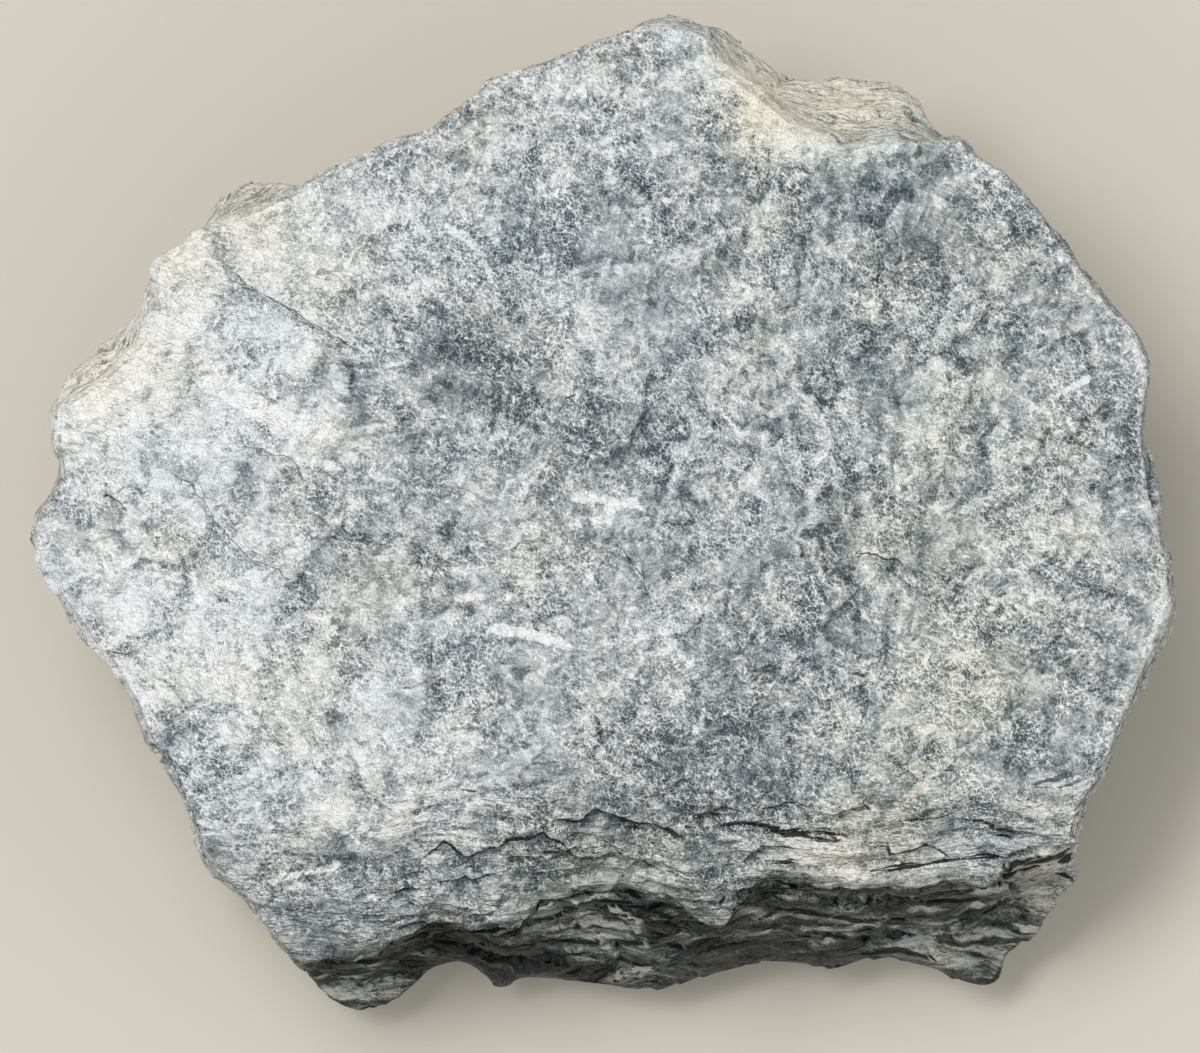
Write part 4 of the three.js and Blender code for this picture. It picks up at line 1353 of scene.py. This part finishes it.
def soapstone_finish():
    """Felted talc: blue-grey stone speckled and veined with white powder, whiter on ridges and
    where it is bruised, with painted shade in fine creases. Flakes facing the lamps carry painted
    light. Steep ground is darker, greenish and leafy; the front is dark partly with painted
    shade, and paler where it faces up, as painted light. Weathered places are cream, and cracks,
    creases and gaps are painted in deep shade."""
    n = Nodes("soapstone_split_face")
    metres = n.add("ShaderNodeTexCoord").outputs["Object"]
    place = n.placed(metres, scale=[1.0 / METRES] * 3)
    stirred = n.add("ShaderNodeAttribute", attribute_name="stirred").outputs["Vector"]
    level = n.attribute("level")
    front = n.attribute("front")

    base = n.noise(place, 0.24, 6.0, 0.8)
    speckle = n.noise(place, 5.5, 1.0, 0.5)
    fine, coarse, thick = [leaf_noise(n, place, level, *sizes) for sizes in LEAF_NOISES]

    rock_value, height, fleck = felted_rock(n, place, stirred, base, speckle)
    face = face_colour(n, rock_value, stirred, bruises(n, base, speckle, fleck))
    side = side_colour(n, rock_value, fine, coarse)
    leafy = front_colour(n, rock_value, fine, coarse, thick)
    painted_crack_shade = painted_shade_places(n, base, speckle, fine, coarse, thick, front)
    colour = n.blend(n.attribute("side"), face, side)
    colour = n.blend(n.math("MULTIPLY", front, 0.95, clamp=True), colour, leafy)
    # painted shade: every crack, crease, lens and gap goes towards the colour of deep shade
    colour = n.blend(n.math("MULTIPLY", painted_crack_shade, 0.94), colour, tint(*CRACK_TINT))

    rough = n.math("MULTIPLY_ADD", front, -0.3, n.step(speckle, 0.3, 0.7, 0.8, 0.6))
    shine = n.math("MULTIPLY_ADD", front, -0.2, 0.5)
    shine = n.math("MULTIPLY", shine, n.math("MULTIPLY_ADD", painted_crack_shade, -0.9, 1.0))
    leaf_height = n.math("MULTIPLY", n.math("MULTIPLY_ADD", coarse, 2.0, fine), n.attribute("flaky"))
    height = n.math("MULTIPLY_ADD", leaf_height, 0.7, height)

    return n.surface({
        "Base Color": colour, "Roughness": rough, "Specular IOR Level": shine, "IOR": 1.54,
        "Normal": n.bump(height),
    })


def floor_finish():
    """Plain pale warm-grey board with the faintest cloudiness."""
    n = Nodes("pale_board")
    place = n.add("ShaderNodeTexCoord").outputs["Object"]
    colour = n.ramp(n.noise(place, 3.0, 2.0, 0.5), FLOOR_TINTS)
    return n.surface({"Base Color": colour, "Roughness": 0.9, "Specular IOR Level": 0.1})


# ------------------------------------------------------------------ stage


FLOOR_HALF = 8.0  # metres from the middle of the floor to its sides
STRIP_BEARINGS = (112.0, 125.0, 138.0, 151.0, 164.0)  # degrees from +X, for each lamp
STRIP_ELEVATION = 70.0  # degrees above the floor
STRIP_STRENGTH = 1.6  # of all the lamps together
STRIP_SPREAD = 14.0  # degrees across each lamp
ROOM_COLOUR = (0.97, 0.98, 1.0, 1.0)
ROOM_STRENGTH = 0.62
CAMERA_LENS = 700.0  # millimetres
CAMERA_SENSOR = 36.0  # millimetres
CAMERA_CLIPS = (0.1, 20.0)  # metres
VIEW_WIDTH = 101.64  # millimetres that the camera takes in from side to side at VIEW_LEVEL
VIEW_LEVEL = 24.0  # millimetres above the floor
VIEW_MIDDLE = (-0.3, -0.85)  # millimetres along X and Y


def make_floor():
    """A level board that the stone rests on."""
    half = FLOOR_HALF
    mesh = bpy.data.meshes.new("floor")
    corners = [(-half, -half, 0.0), (half, -half, 0.0), (half, half, 0.0), (-half, half, 0.0)]
    mesh.from_pydata(corners, [], [(0, 1, 2, 3)])
    floor = place_object("floor", mesh)
    mesh.materials.append(floor_finish())
    floor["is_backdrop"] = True


def make_lamp(name, bearing):
    """One soft distant lamp of the strip, shining from a bearing."""
    lamp = bpy.data.lights.new(name, "SUN")
    lamp.energy = STRIP_STRENGTH / len(STRIP_BEARINGS)
    lamp.angle = math.radians(STRIP_SPREAD)
    tilt = math.radians(90.0 - STRIP_ELEVATION)
    place_object(name, lamp).rotation_euler = (tilt, 0.0, math.radians(bearing + 90.0))


def make_light():
    """A long narrow strip of light behind the stone, towards its left, and a pale room."""
    for number, bearing in enumerate(STRIP_BEARINGS):
        make_lamp(f"strip_{number + 1}", bearing)
    world = bpy.data.worlds.new("room")
    world.use_nodes = True
    background = world.node_tree.nodes["Background"]
    background.inputs["Color"].default_value = ROOM_COLOUR
    background.inputs["Strength"].default_value = ROOM_STRENGTH
    bpy.context.scene.world = world


def make_camera():
    """Looks straight down, from far enough away that the view is all but parallel."""
    camera = bpy.data.cameras.new("camera")
    camera.lens = CAMERA_LENS
    camera.sensor_width = CAMERA_SENSOR
    camera.clip_start, camera.clip_end = CAMERA_CLIPS
    holder = place_object("camera", camera)
    distance = VIEW_WIDTH * CAMERA_LENS / CAMERA_SENSOR
    x, y = VIEW_MIDDLE
    holder.location = (x * METRES, y * METRES, (VIEW_LEVEL + distance) * METRES)
    bpy.context.scene.camera = holder


def write_sizes():
    """Sets the CAD box and the finished model's box side by side; the result is not kept."""

    def plain(box):
        """A box as plain lists of numbers."""
        return [[float(number) for number in corner] for corner in box]

    {"cad": plain(cad_box), "visual": plain(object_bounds())}


stone = make_soapstone()
stone.data.materials.append(soapstone_finish())
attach(stone, "root")
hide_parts("soapstone")
make_floor()
make_light()
make_camera()
bpy.context.scene.view_settings.view_transform = "Standard"

write_sizes()
